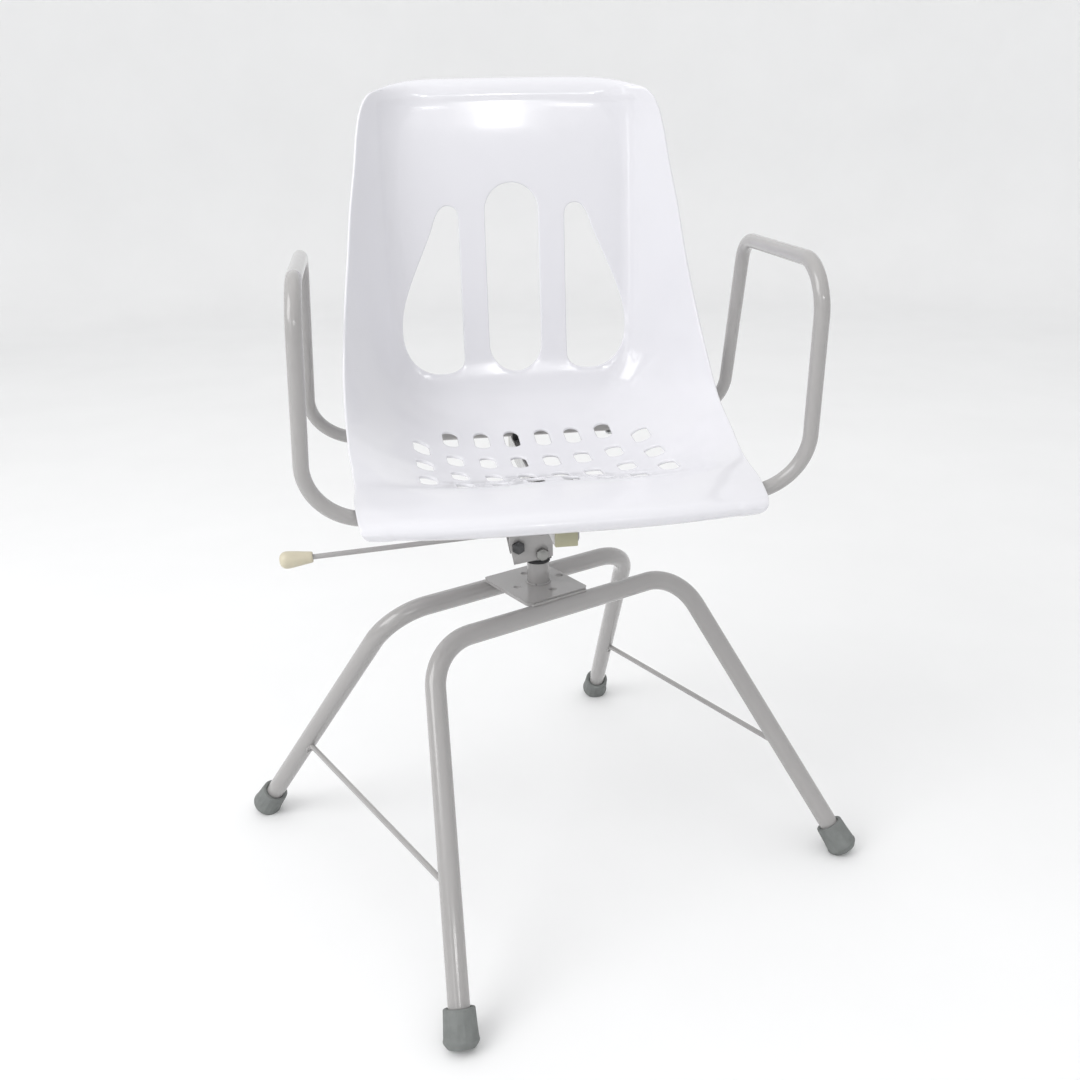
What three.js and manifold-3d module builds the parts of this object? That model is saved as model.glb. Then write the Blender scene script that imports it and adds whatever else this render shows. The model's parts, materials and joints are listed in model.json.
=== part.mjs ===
import * as THREE from 'three';
import { mergeVertices } from 'three/addons/utils/BufferGeometryUtils.js';
import Module from 'manifold-3d';

// Swivel bath chair. Millimetres, +Z up. The origin is on the floor under the swivel axis and the seat faces
// -Y. The base is built square to its own axes and then turned under the seat by BASE_TURN. Heights are
// measured from a datum that stands DATUM above the floor, and the whole chair is raised by it at the end.

// ---- driving dimensions ------------------------------------------------------------------------------------
const GAP = 0.3;
const BASE_TURN = 25.5;
const DATUM = 7.5;

const LEG_TUBE = { outer: 11.1, inner: 9.6 };
const TOP_RUN_HEIGHT = 316.3;
const TOP_RUN_SPACING = 48;
const TOP_RUN_HALF = 167.6;
const FOOT_X = 270;
const FOOT_Y = 254.3;
const LEG_BEND = 60;
const LEG_END_HEIGHT = 9;
const BRACE_FRACTION = 0.619;
const BRACE_RADIUS = 3.2;

const PLATE = { left: -45, right: 36, half: 47, thick: 4, corner: 5 };
const LOCK_CIRCLE = 29;
const LOCK_HOLE = 4.2;
const PLATE_BORE = 11.1;

const SPINDLE = { outer: 12.7, inner: 10.9, height: 25.4 };
const BUSH = { flange: 13.9, flangeThick: 2.6, sleeve: 10.6, bore: 9.5, sleeveLength: 11 };
const POST_RADIUS = 9.4;

const CHEEK = { inner: 16.5, outer: 19 };
const CROSS_BOLT = { x: 2.2, z: 373 };
const STOP_BOLT = { x: -25, z: 383 };
const STOP_SHANK = 2.9;
const LEVER_PIVOT = { x: 34, z: 392.4 };
const LEVER_SLOPE = 0.0543;
const LEVER_Y = 13;
const LEVER_ROD = 3;
const KNOB_END_X = -290;
const LOCK_PIN = { x: 12.5, y: 26.17, radius: 3, collar: 6.6 };
const LIFT_PIN = { x: 6, radius: 2.4 };

const BEAM = { half: 11.2, wall: 1.6, bottom: 447, top: 469.4, front: -190, rear: 150 };
const SADDLE = { half: 10, top: 478 };
const CROSS_TUBE = { outer: 9.5, inner: 7.9, z: 481.9, front: -172, rear: 122, half: 182 };
const ARM_TUBE = { outer: 7.5, inner: 6.1, topBend: 42, lowBend: 58 };
const ARM_TOP = { frontX: 234.5, rearX: 236, z: 706.5, front: -214.6, rear: 16.3 };
const ARM_BOTTOM = { frontX: 246.3, rearX: 250, z: 481.9 };
const ARM_INSERT = 40;

const SHELL_THICKNESS = 3.5;
const SHELL_SCREW_X = 110;
const DRAIN = { width: 17, length: 36 };

// ---- materials ---------------------------------------------------------------------------------------------
function finish(colour, roughness, metalness) {
  return new THREE.MeshStandardMaterial({ color: colour, roughness, metalness });
}

const PAINT = finish(0xd3d1cc, 0.3, 0.1);
const SHELL_WHITE = finish(0xe9e8ee, 0.18, 0);
const RUBBER_GREY = finish(0x8a8e8c, 0.75, 0);
const IVORY = finish(0xe6dfc4, 0.4, 0);
const CHROME = finish(0xc9c9c6, 0.15, 1);
const DARK_STEEL = finish(0x4a4a4c, 0.45, 0.8);
const ZINC = finish(0xa9abab, 0.35, 0.9);
const BLACK_PLASTIC = finish(0x19191b, 0.5, 0);

// ---- solids ------------------------------------------------------------------------------------------------
const wasm = await Module();
wasm.setup();

function signedVolume(geometry) {
  const position = geometry.attributes.position;
  const index = geometry.index;
  const a = new THREE.Vector3();
  const b = new THREE.Vector3();
  const c = new THREE.Vector3();
  let six = 0;
  for (let i = 0; i < index.count; i += 3) {
    a.fromBufferAttribute(position, index.getX(i));
    b.fromBufferAttribute(position, index.getX(i + 1));
    c.fromBufferAttribute(position, index.getX(i + 2));
    six += a.dot(b.cross(c));
  }
  return six;
}

// Joins equal vertices, leaves only the position, and turns every face outward.
function sealed(geometry) {
  const bare = geometry.clone();
  bare.deleteAttribute('normal');
  bare.deleteAttribute('uv');
  const merged = mergeVertices(bare, 1e-4);
  if (signedVolume(merged) < 0) {
    const index = merged.index;
    for (let i = 0; i < index.count; i += 3) {
      const second = index.getX(i + 1);
      index.setX(i + 1, index.getX(i + 2));
      index.setX(i + 2, second);
    }
  }
  return merged;
}

function toSolid(geometry) {
  const bare = sealed(geometry);
  return new wasm.Manifold(new wasm.Mesh({
    numProp: 3,
    vertProperties: new Float32Array(bare.attributes.position.array),
    triVerts: new Uint32Array(bare.index.array),
  }));
}

function toGeometry(solid) {
  const mesh = solid.getMesh();
  const geometry = new THREE.BufferGeometry();
  geometry.setAttribute('position', new THREE.BufferAttribute(new Float32Array(mesh.vertProperties), 3));
  geometry.setIndex(new THREE.BufferAttribute(new Uint32Array(mesh.triVerts), 1));
  return geometry;
}

function joined(first, ...others) {
  return toGeometry(others.reduce((sum, other) => sum.add(toSolid(other)), toSolid(first)));
}

function cut(first, ...tools) {
  return toGeometry(tools.reduce((rest, tool) => rest.subtract(toSolid(tool)), toSolid(first)));
}

// ---- simple shapes -----------------------------------------------------------------------------------------
function box(x0, x1, y0, y1, z0, z1) {
  const geometry = new THREE.BoxGeometry(x1 - x0, y1 - y0, z1 - z0);
  return geometry.translate((x0 + x1) / 2, (y0 + y1) / 2, (z0 + z1) / 2);
}

// A round bar standing on z0, with its axis along +Z through x, y.
function upright(radius, x, y, z0, z1, sides = 16) {
  const geometry = new THREE.CylinderGeometry(radius, radius, z1 - z0, sides);
  return geometry.rotateX(Math.PI / 2).translate(x, y, (z0 + z1) / 2);
}

// A round bar with its axis along +Y through x, z.
function alongY(radius, x, z, y0, y1, sides = 16) {
  return new THREE.CylinderGeometry(radius, radius, y1 - y0, sides).translate(x, (y0 + y1) / 2, z);
}

// A round bar with its axis along +X through y, z.
function alongX(radius, y, z, x0, x1, sides = 16) {
  const geometry = new THREE.CylinderGeometry(radius, radius, x1 - x0, sides);
  return geometry.rotateZ(Math.PI / 2).translate((x0 + x1) / 2, y, z);
}

// A turned piece about +Z from [radius, height] pairs.
function turned(profile, sides = 24) {
  const points = profile.map(([radius, height]) => new THREE.Vector2(radius, height));
  return new THREE.LatheGeometry(points, sides).rotateX(Math.PI / 2);
}

function ring(inner, outer, z0, z1, sides = 24) {
  return turned([[inner, z0], [outer, z0], [outer, z1], [inner, z1], [inner, z0]], sides);
}

// A path of straight runs between corners, each inner corner rounded to a bend radius of its own. Its stations stand
// only where the direction changes, so a straight run is one step.
class BentPath extends THREE.Curve {
  constructor(corners, bends, step = 12) {
    super();
    this.stations = [];
    const last = corners.length - 1;
    const start = corners[1].clone().sub(corners[0]).normalize();
    this.stations.push({ point: corners[0], tangent: start });
    for (let i = 1; i < last; i += 1) {
      const before = corners[i].clone().sub(corners[i - 1]).normalize();
      const after = corners[i + 1].clone().sub(corners[i]).normalize();
      const bend = bends[i - 1];
      const angle = before.angleTo(after);
      const reach = bend * Math.tan(angle / 2);
      const side = after.clone().sub(before.clone().multiplyScalar(before.dot(after))).normalize();
      const centre = corners[i].clone().addScaledVector(before, -reach).addScaledVector(side, bend);
      const steps = Math.max(2, Math.round(THREE.MathUtils.radToDeg(angle) / step));
      for (let k = 0; k <= steps; k += 1) {
        const turn = (angle * k) / steps;
        const point = centre.clone().addScaledVector(side, -bend * Math.cos(turn));
        point.addScaledVector(before, bend * Math.sin(turn));
        const tangent = before.clone().multiplyScalar(Math.cos(turn)).addScaledVector(side, Math.sin(turn));
        this.stations.push({ point, tangent });
      }
    }
    const end = corners[last].clone().sub(corners[last - 1]).normalize();
    this.stations.push({ point: corners[last], tangent: end });
  }

  get steps() {
    return this.stations.length - 1;
  }

  station(t) {
    return this.stations[Math.round(t * this.steps)];
  }

  getPoint(t) {
    return this.station(t).point.clone();
  }

  getPointAt(u) {
    return this.getPoint(u);
  }

  getTangent(t) {
    return this.station(t).tangent.clone();
  }

  getTangentAt(u) {
    return this.getTangent(u);
  }
}

function roundSection(outer, inner) {
  const section = new THREE.Shape();
  section.absarc(0, 0, outer, 0, Math.PI * 2, false);
  if (inner) {
    const hole = new THREE.Path();
    hole.absarc(0, 0, inner, 0, Math.PI * 2, true);
    section.holes.push(hole);
  }
  return section;
}

function bentTube(path, outer, inner, sides = 16) {
  return new THREE.ExtrudeGeometry(roundSection(outer, inner), {
    steps: path.steps,
    extrudePath: path,
    bevelEnabled: false,
    curveSegments: sides / 2,
  });
}

// A flat outline in x and z, of [x, z] pairs, extruded from y0 to y1.
function outlineXZ(pairs, y0, y1) {
  const shape = new THREE.Shape(pairs.map(([x, z]) => new THREE.Vector2(x, z)));
  const geometry = new THREE.ExtrudeGeometry(shape, { depth: y1 - y0, bevelEnabled: false, steps: 1 });
  return geometry.rotateX(Math.PI / 2).translate(0, y1, 0);
}

function vector(x, y, z) {
  return new THREE.Vector3(x, y, z);
}

// ---- fasteners ---------------------------------------------------------------------------------------------
const M8 = { shank: 3.9, flats: 13, head: 5.5, nut: 6.5, hole: 4.3 };
const M6 = { shank: 2.9, hole: 3.3, head: 5.5, headHeight: 3.6 };
const HEX_CORNER = 2 / Math.sqrt(3);

function hexAlongY(flats, x, z, y0, y1) {
  const radius = (flats / 2) * HEX_CORNER;
  return new THREE.CylinderGeometry(radius, radius, y1 - y0, 6).translate(x, (y0 + y1) / 2, z);
}

function hexUpright(flats, x, y, z0, z1) {
  return upright((flats / 2) * HEX_CORNER, x, y, z0, z1, 6);
}

// A hexagon bolt along +Y: the head in front of y = from, the shank back to y = to.
function boltAlongY({ x, z }, from, to, shank = M8.shank) {
  return joined(hexAlongY(M8.flats, x, z, from - M8.head, from), alongY(shank, x, z, from - 1, to, 12));
}

function nutAlongY({ x, z }, from) {
  return cut(hexAlongY(M8.flats, x, z, from, from + M8.nut), alongY(M8.hole, x, z, from - 1, from + 8, 12));
}

// A button-headed M6 screw from below: the head under z = from, the shank up to z = to.
function screwUp(x, y, from, to) {
  return joined(upright(M6.head, x, y, from - M6.headHeight, from, 16), upright(M6.shank, x, y, from - 1, to, 12));
}

// ---- base, square to its own axes --------------------------------------------------------------------------
const legCorner = (sx, sy) => vector(sx * TOP_RUN_HALF, sy * TOP_RUN_SPACING, TOP_RUN_HEIGHT);
const legFoot = (sx, sy) => vector(sx * FOOT_X, sy * FOOT_Y, -DATUM);
const legPoint = (sx, sy, fraction) => legCorner(sx, sy).lerp(legFoot(sx, sy), fraction);
const LEG_END_FRACTION = 1 - LEG_END_HEIGHT / (TOP_RUN_HEIGHT + DATUM);
const PLATE_BOTTOM = TOP_RUN_HEIGHT + LEG_TUBE.outer + GAP;
const PLATE_TOP = PLATE_BOTTOM + PLATE.thick;
const SPINDLE_BOTTOM = PLATE_TOP + GAP;
const SPINDLE_TOP = SPINDLE_BOTTOM + SPINDLE.height;

function legPath(sy, endFraction) {
  const ends = [legPoint(-1, sy, endFraction), legCorner(-1, sy), legCorner(1, sy), legPoint(1, sy, endFraction)];
  return new BentPath(ends, [LEG_BEND, LEG_BEND]);
}

function legTube(sy) {
  return bentTube(legPath(sy, LEG_END_FRACTION), LEG_TUBE.outer, LEG_TUBE.inner);
}

// Each brace joins the two legs at one end of the base and is coped round both.
function brace(sx) {
  const from = legPoint(sx, -1, BRACE_FRACTION);
  const to = legPoint(sx, 1, BRACE_FRACTION);
  const bar = alongY(BRACE_RADIUS, from.x, from.z, from.y, to.y, 12);
  const legs = [-1, 1].map((sy) => bentTube(
    new BentPath([legPoint(sx, sy, 0.3), legPoint(sx, sy, 1)], []),
    LEG_TUBE.outer + GAP,
    0,
  ));
  return cut(bar, ...legs);
}

// The ferrule is turned about the leg's own axis, flared above a bevelled sole, with a socket for the tube's
// end, and worn flat to the floor.
const FERRULE = { sole: 11.5, flare: 18.2, flareHeight: 7.5, body: 16, length: 37.5, lift: 4.2 };

function ferrule(sx, sy) {
  const down = legFoot(sx, sy).sub(legCorner(sx, sy)).normalize();
  const { sole, flare, flareHeight, body, length, lift } = FERRULE;
  const top = lift + length;
  const bore = LEG_TUBE.outer + GAP;
  const socket = LEG_END_HEIGHT / -down.z - GAP;
  const piece = turned([
    [0, lift],
    [sole, lift],
    [flare - 1.2, lift + flareHeight - 2.5],
    [flare, lift + flareHeight],
    [body + 0.7, lift + flareHeight + 7],
    [body, top - 2],
    [body - 1.5, top],
    [bore, top],
    [bore, socket],
    [0, socket],
    [0, lift],
  ], 20);
  const axis = new THREE.Quaternion().setFromUnitVectors(vector(0, 0, 1), down.clone().negate());
  piece.applyQuaternion(axis).translate(sx * FOOT_X, sy * FOOT_Y, -DATUM);
  const floor = box(-400, 400, -400, 400, -60, -DATUM);
  return cut(piece, floor);
}

function basePlate() {
  const shape = new THREE.Shape();
  const { left, right, half, corner } = PLATE;
  shape.absarc(right - corner, half - corner, corner, 0, Math.PI / 2, false);
  shape.absarc(left + corner, half - corner, corner, Math.PI / 2, Math.PI, false);
  shape.absarc(left + corner, corner - half, corner, Math.PI, Math.PI * 1.5, false);
  shape.absarc(right - corner, corner - half, corner, Math.PI * 1.5, Math.PI * 2, false);
  shape.holes.push(new THREE.Path().absarc(0, 0, PLATE_BORE, 0, Math.PI * 2, true));
  for (let i = 0; i < 4; i += 1) {
    const angle = (i * Math.PI) / 2;
    const x = LOCK_CIRCLE * Math.cos(angle);
    const y = LOCK_CIRCLE * Math.sin(angle);
    shape.holes.push(new THREE.Path().absarc(x, y, LOCK_HOLE, 0, Math.PI * 2, true));
  }
  const options = { depth: PLATE.thick, bevelEnabled: false, steps: 1, curveSegments: 8 };
  return new THREE.ExtrudeGeometry(shape, options).translate(0, 0, PLATE_BOTTOM);
}

function upperBush() {
  const flange = SPINDLE_TOP + GAP;
  const top = flange + BUSH.flangeThick;
  const foot = flange - BUSH.sleeveLength;
  return turned([
    [BUSH.bore, foot],
    [BUSH.sleeve, foot],
    [BUSH.sleeve, flange],
    [BUSH.flange, flange],
    [BUSH.flange, top],
    [BUSH.bore, top],
    [BUSH.bore, foot],
  ]);
}

function lowerBush() {
  const flange = PLATE_BOTTOM - GAP;
  const bottom = flange - BUSH.flangeThick;
  const top = flange + BUSH.sleeveLength;
  return turned([
    [BUSH.bore, bottom],
    [BUSH.flange, bottom],
    [BUSH.flange, flange],
    [BUSH.sleeve, flange],
    [BUSH.sleeve, top],
    [BUSH.bore, top],
    [BUSH.bore, bottom],
  ]);
}

// ---- swivel post and what holds it -------------------------------------------------------------------------
const POST_BOTTOM = PLATE_BOTTOM - GAP - BUSH.flangeThick - 1.2;
const WEB_TOP = BEAM.bottom - GAP;
const WEB_BOTTOM = WEB_TOP - 3;
const POST_TOP = WEB_BOTTOM - GAP;
const RETAINER_DEPTH = 28;

function swivelPost() {
  const bar = upright(POST_RADIUS, 0, 0, POST_BOTTOM, POST_TOP, 24);
  const thread = upright(4.9, 0, 0, POST_BOTTOM - 1, POST_BOTTOM + RETAINER_DEPTH, 16);
  return cut(bar, thread, alongY(M8.hole, CROSS_BOLT.x, CROSS_BOLT.z, -15, 15, 16));
}

const WASHER_TOP = POST_BOTTOM - GAP;

function retainingWasher() {
  return ring(5.3, 13.5, WASHER_TOP - 2.5, WASHER_TOP);
}

function retainingBolt() {
  const head = WASHER_TOP - 2.5 - GAP;
  return joined(hexUpright(15, 0, 0, head - 6.4, head), upright(4.6, 0, 0, head - 1, POST_BOTTOM + 24, 16));
}

// The folded bracket: a web under the beam, and two cheeks that reach down past the post.
function leverBracket() {
  const outline = [
    [-34.5, WEB_TOP],
    [-34.5, 387],
    [-30, 361.5],
    [10, 367.5],
    [14.5, 369.5],
    [14.5, 383],
    [43, 383],
    [45, 388],
    [45, WEB_TOP],
  ];
  const web = box(-34.5, 45, -CHEEK.outer, CHEEK.outer, WEB_BOTTOM, WEB_TOP);
  const front = outlineXZ(outline, -CHEEK.outer, -CHEEK.inner);
  const rear = outlineXZ(outline, CHEEK.inner, CHEEK.outer);
  const slot = box(LIFT_PIN.x - 3.4, LIFT_PIN.x + 4.2, CHEEK.inner - 1, CHEEK.outer + 1, 386.6, 402.5);
  const bolts = [[CROSS_BOLT.x, CROSS_BOLT.z], [STOP_BOLT.x, STOP_BOLT.z], [LEVER_PIVOT.x, LEVER_PIVOT.z]];
  const holes = bolts.map(([x, z]) => alongY(M8.hole, x, z, -25, 25, 16));
  return cut(joined(web, front, rear), slot, ...holes);
}

const BOLT_FRONT = -CHEEK.outer - GAP;
const NUT_FRONT = CHEEK.outer + GAP;

// ---- lock pin ----------------------------------------------------------------------------------------------
const COLLAR_BOTTOM = 393.6;
const COLLAR_TOP = COLLAR_BOTTOM + 2.4;
const TAB = { bottom: 418, top: 421 };
const GUIDE = { bottom: 351, top: 363.8, x0: 6, x1: 19, y0: CHEEK.outer + GAP, y1: 35 };

function lockPin() {
  const { x, y, radius, collar } = LOCK_PIN;
  const tip = PLATE_TOP + GAP;
  const piece = turned([
    [0, tip],
    [radius - 1, tip],
    [radius, tip + 1.5],
    [radius, COLLAR_BOTTOM],
    [collar, COLLAR_BOTTOM],
    [collar, COLLAR_TOP],
    [radius, COLLAR_TOP],
    [radius, 428],
    [0, 428],
  ], 20);
  return piece.translate(x, y, 0);
}

function pinGuide() {
  const { x0, x1, y0, y1, bottom, top } = GUIDE;
  const hanger = box(-9, x1, y0, y0 + 2.5, bottom, 380);
  const block = box(x0, x1, y0, y1, bottom, top);
  const bore = upright(LOCK_PIN.radius + 0.1, LOCK_PIN.x, LOCK_PIN.y, bottom - 1, top + 1, 20);
  return cut(joined(block, hanger), bore, alongY(M8.hole, CROSS_BOLT.x, CROSS_BOLT.z, 10, 30, 16));
}

function springTab() {
  const { x0, x1, y0, y1 } = GUIDE;
  const shelf = box(x0, x1, y0, y1, TAB.bottom, TAB.top);
  const flange = box(x0, x1, y0, y0 + 2.5, TAB.bottom, 432);
  const bore = upright(LOCK_PIN.radius + 0.3, LOCK_PIN.x, LOCK_PIN.y, TAB.bottom - 1, TAB.top + 1, 20);
  return cut(joined(shelf, flange), bore);
}

class Helix extends THREE.Curve {
  constructor(radius, turns, bottom, top) {
    super();
    Object.assign(this, { radius, turns, bottom, top });
  }

  getPoint(t) {
    const angle = t * this.turns * Math.PI * 2;
    const z = THREE.MathUtils.lerp(this.bottom, this.top, t);
    return vector(this.radius * Math.cos(angle), this.radius * Math.sin(angle), z);
  }
}

function pinSpring() {
  const wire = 0.7;
  const coil = new Helix(4.9, 6, COLLAR_TOP + GAP + wire, TAB.bottom - GAP - wire);
  const options = { steps: 72, extrudePath: coil, bevelEnabled: false, curveSegments: 3 };
  return new THREE.ExtrudeGeometry(roundSection(wire), options).translate(LOCK_PIN.x, LOCK_PIN.y, 0);
}

// ---- lever -------------------------------------------------------------------------------------------------
const leverHeight = (x) => LEVER_PIVOT.z + (x - LEVER_PIVOT.x) * LEVER_SLOPE;
const KNOB = { length: 37, socket: 22 };

function leverRod() {
  const from = vector(LEVER_PIVOT.x - 4, LEVER_Y, leverHeight(LEVER_PIVOT.x - 4));
  const endX = KNOB_END_X + KNOB.length - KNOB.socket + 2;
  const to = vector(endX, LEVER_Y, leverHeight(endX));
  const rod = bentTube(new BentPath([from, to], []), LEVER_ROD, 0);
  const { x, z } = LEVER_PIVOT;
  const eye = alongY(7, x, z, LEVER_Y - 2.7, LEVER_Y + 2.7, 20);
  return cut(joined(rod, eye), alongY(M8.shank + 0.1, x, z, 0, 30, 20));
}

// The lift pin is welded to the back of the rod and reaches under the lock pin's collar.
function liftPin() {
  const { x, radius } = LIFT_PIN;
  return alongY(radius, x, leverHeight(x), LEVER_Y + LEVER_ROD + GAP, LOCK_PIN.y + 5, 14);
}

function knob() {
  const { length, socket } = KNOB;
  const piece = turned([
    [0, 0],
    [5, 0.8],
    [8.6, 3],
    [9.9, 7],
    [9.4, 15],
    [7.6, 27],
    [6, length],
    [LEVER_ROD + GAP, length],
    [LEVER_ROD + GAP, length - socket],
    [0, length - socket],
  ], 24);
  const direction = vector(1, 0, LEVER_SLOPE).normalize();
  piece.applyQuaternion(new THREE.Quaternion().setFromUnitVectors(vector(0, 0, 1), direction));
  return piece.translate(KNOB_END_X, LEVER_Y, leverHeight(KNOB_END_X));
}

// ---- seat frame --------------------------------------------------------------------------------------------
const tubeHole = (y) => upright(M8.hole, 0, y, BEAM.bottom - 5, CROSS_TUBE.z, 16);

function centreBeam() {
  const { half, wall, bottom, top, front, rear } = BEAM;
  const outer = box(-half, half, front, rear, bottom, top);
  const inner = box(wall - half, half - wall, front - 1, rear + 1, bottom + wall, top - wall);
  return cut(outer, inner, tubeHole(CROSS_TUBE.front), tubeHole(CROSS_TUBE.rear));
}

function beamPlug(end, direction) {
  const { half, wall, bottom, top } = BEAM;
  const face = end + direction * 4;
  const inset = wall + GAP;
  const [near, far] = [end + direction * GAP, face].sort((a, b) => a - b);
  const cap = box(-half, half, near, far, bottom, top);
  const nose = end - direction * 12;
  const [start, stop] = [nose, face - direction].sort((a, b) => a - b);
  return joined(cap, box(inset - half, half - inset, start, stop, bottom + inset, top - inset));
}

function crossTube(y) {
  const { outer, inner, z, half } = CROSS_TUBE;
  const tube = cut(alongX(outer, y, z, -half, half, 20), alongX(inner, y, z, -half - 1, half + 1, 20));
  const screws = [-1, 1].map((side) => upright(M6.hole, side * SHELL_SCREW_X, y, z - 15, z + 15, 12));
  const arms = [-1, 1].map((side) => upright(M6.hole, side * (half - 15), y, z - 15, z, 12));
  return cut(tube, tubeHole(y), ...screws, ...arms);
}

// A plastic saddle lies on the beam and cradles the cross tube.
function saddle(y) {
  const { half, top } = SADDLE;
  const block = box(-BEAM.half, BEAM.half, y - half, y + half, BEAM.top + GAP, top);
  const cradle = alongX(CROSS_TUBE.outer + GAP, y, CROSS_TUBE.z, -20, 20, 20);
  return cut(block, cradle, tubeHole(y));
}

function frameBolt(y) {
  const head = BEAM.bottom - GAP;
  return joined(hexUpright(M8.flats, 0, y, head - M8.head, head), upright(M8.shank, 0, y, head - 1, CROSS_TUBE.z + 4));
}

function armLoop(side) {
  const { z } = ARM_BOTTOM;
  const inside = side * (CROSS_TUBE.half - ARM_INSERT);
  const corners = [
    vector(inside, CROSS_TUBE.front, z),
    vector(side * ARM_BOTTOM.frontX, CROSS_TUBE.front, z),
    vector(side * ARM_TOP.frontX, ARM_TOP.front, ARM_TOP.z),
    vector(side * ARM_TOP.rearX, ARM_TOP.rear, ARM_TOP.z),
    vector(side * ARM_BOTTOM.rearX, CROSS_TUBE.rear, z),
    vector(inside, CROSS_TUBE.rear, z),
  ];
  const { outer, inner, topBend, lowBend } = ARM_TUBE;
  const path = new BentPath(corners, [lowBend, topBend, topBend, lowBend], 12);
  const tube = bentTube(path, outer, inner, 14);
  const x = side * (CROSS_TUBE.half - 15);
  const holes = [CROSS_TUBE.front, CROSS_TUBE.rear].map((y) => upright(M6.hole, x, y, z - 12, z, 12));
  return cut(tube, ...holes);
}

const SCREW_SEAT = CROSS_TUBE.z - CROSS_TUBE.outer - GAP;

// ---- moulded shell -----------------------------------------------------------------------------------------
// The shell is swept over stations. Each has the middle of the shell [y, z], the edge of the shell [x, y, z],
// the share of the half width that stays flat, and the power of the curve that lifts the side to the edge.
const STATIONS = [
  { middle: [-213, 467.2], edge: [181, -203, 470], flat: 0, power: 3 },
  { middle: [-221.5, 472.3], edge: [189, -210.5, 473.5], flat: 0, power: 3 },
  { middle: [-226.3, 479.8], edge: [193, -214.5, 480.5], flat: 0, power: 3 },
  { middle: [-222, 487.2], edge: [195, -209, 487.3], flat: 0, power: 3 },
  { middle: [-200, 493.3], edge: [197, -190, 493.5], flat: 0, power: 3 },
  { middle: [-172, 496.6], edge: [198.5, -165, 498.5], flat: 0, power: 3 },
  { middle: [-150, 497.2], edge: [197.5, -142, 503], flat: 0, power: 3 },
  { middle: [-133, 493], edge: [198.5, -120, 506.5], flat: 0, power: 3 },
  { middle: [-115, 487.5], edge: [199.5, -98, 512], flat: 0, power: 2.6 },
  { middle: [-95, 481.5], edge: [201.5, -75, 519], flat: 0, power: 2.4 },
  { middle: [-60, 476.5], edge: [202.5, -45, 529], flat: 0, power: 2.4 },
  { middle: [-10, 475.6], edge: [203.5, -14, 541], flat: 0, power: 2.8 },
  { middle: [35, 479.5], edge: [203.5, 12, 560], flat: 0, power: 3.4 },
  { middle: [75, 487.5], edge: [202.5, 34, 583], flat: 0.1, power: 3.4 },
  { middle: [107, 502], edge: [200.5, 52, 607], flat: 0.3, power: 3 },
  { middle: [129, 525], edge: [198, 67, 632], flat: 0.5, power: 2.4 },
  { middle: [140, 555], edge: [194.5, 80, 660], flat: 0.6, power: 2 },
  { middle: [145, 600], edge: [189, 92, 700], flat: 0.66, power: 1.8 },
  { middle: [148, 660], edge: [183, 104, 746], flat: 0.7, power: 1.7 },
  { middle: [150.5, 725], edge: [175.5, 114, 788], flat: 0.74, power: 1.6 },
  { middle: [153, 785], edge: [170.5, 121, 821], flat: 0.76, power: 1.6 },
  { middle: [156, 830], edge: [165, 127, 843], flat: 0.72, power: 2 },
  { middle: [159, 856], edge: [158.5, 132, 855], flat: 0.5, power: 3 },
  { middle: [164, 870.5], edge: [150.5, 139, 862], flat: 0.35, power: 3.6 },
  { middle: [174, 876], edge: [145.5, 145.5, 865], flat: 0.3, power: 3.8 },
  { middle: [184, 873.5], edge: [142.5, 149.5, 864.5], flat: 0.3, power: 3.8 },
];
const SHELL_ROWS = 44;
const SHELL_COLUMNS = 30;

const middleCurve = new THREE.CatmullRomCurve3(STATIONS.map(({ middle: [y, z] }) => vector(0, y, z)));
const edgeCurve = new THREE.CatmullRomCurve3(STATIONS.map(({ edge: [x, y, z] }) => vector(x, y, z)));

// Between the thighs the pan rises sooner towards its front ridge.
const POMMEL = { height: 6.5, y: -104, length: 34, half: 75 };

function pommel(x, y) {
  const side = Math.max(0, 1 - (x / POMMEL.half) ** 2);
  return POMMEL.height * side * side * Math.exp(-(((y - POMMEL.y) / POMMEL.length) ** 2));
}

// The shell's upper surface, with across from -1 to 1 and along from 0 at the front lip to 1 at the top.
function shellPoint(across, along) {
  const middle = middleCurve.getPoint(along);
  const edge = edgeCurve.getPoint(along);
  const place = along * (STATIONS.length - 1);
  const index = Math.min(Math.floor(place), STATIONS.length - 2);
  const part = place - index;
  const flat = THREE.MathUtils.lerp(STATIONS[index].flat, STATIONS[index + 1].flat, part);
  const power = THREE.MathUtils.lerp(STATIONS[index].power, STATIONS[index + 1].power, part);
  const width = Math.abs(across);
  const lift = Math.max(0, (width - flat) / (1 - flat)) ** power;
  const x = across * edge.x;
  const y = middle.y + (edge.y - middle.y) * lift;
  const z = middle.z + (edge.z - middle.z) * lift;
  return vector(x, y, z + pommel(x, y));
}

function shellNormal(across, along) {
  const step = 0.004;
  const sideways = shellPoint(Math.min(1, across + step), along).sub(shellPoint(Math.max(-1, across - step), along));
  const upward = shellPoint(across, Math.min(1, along + step)).sub(shellPoint(across, Math.max(0, along - step)));
  return sideways.cross(upward).normalize();
}

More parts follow.
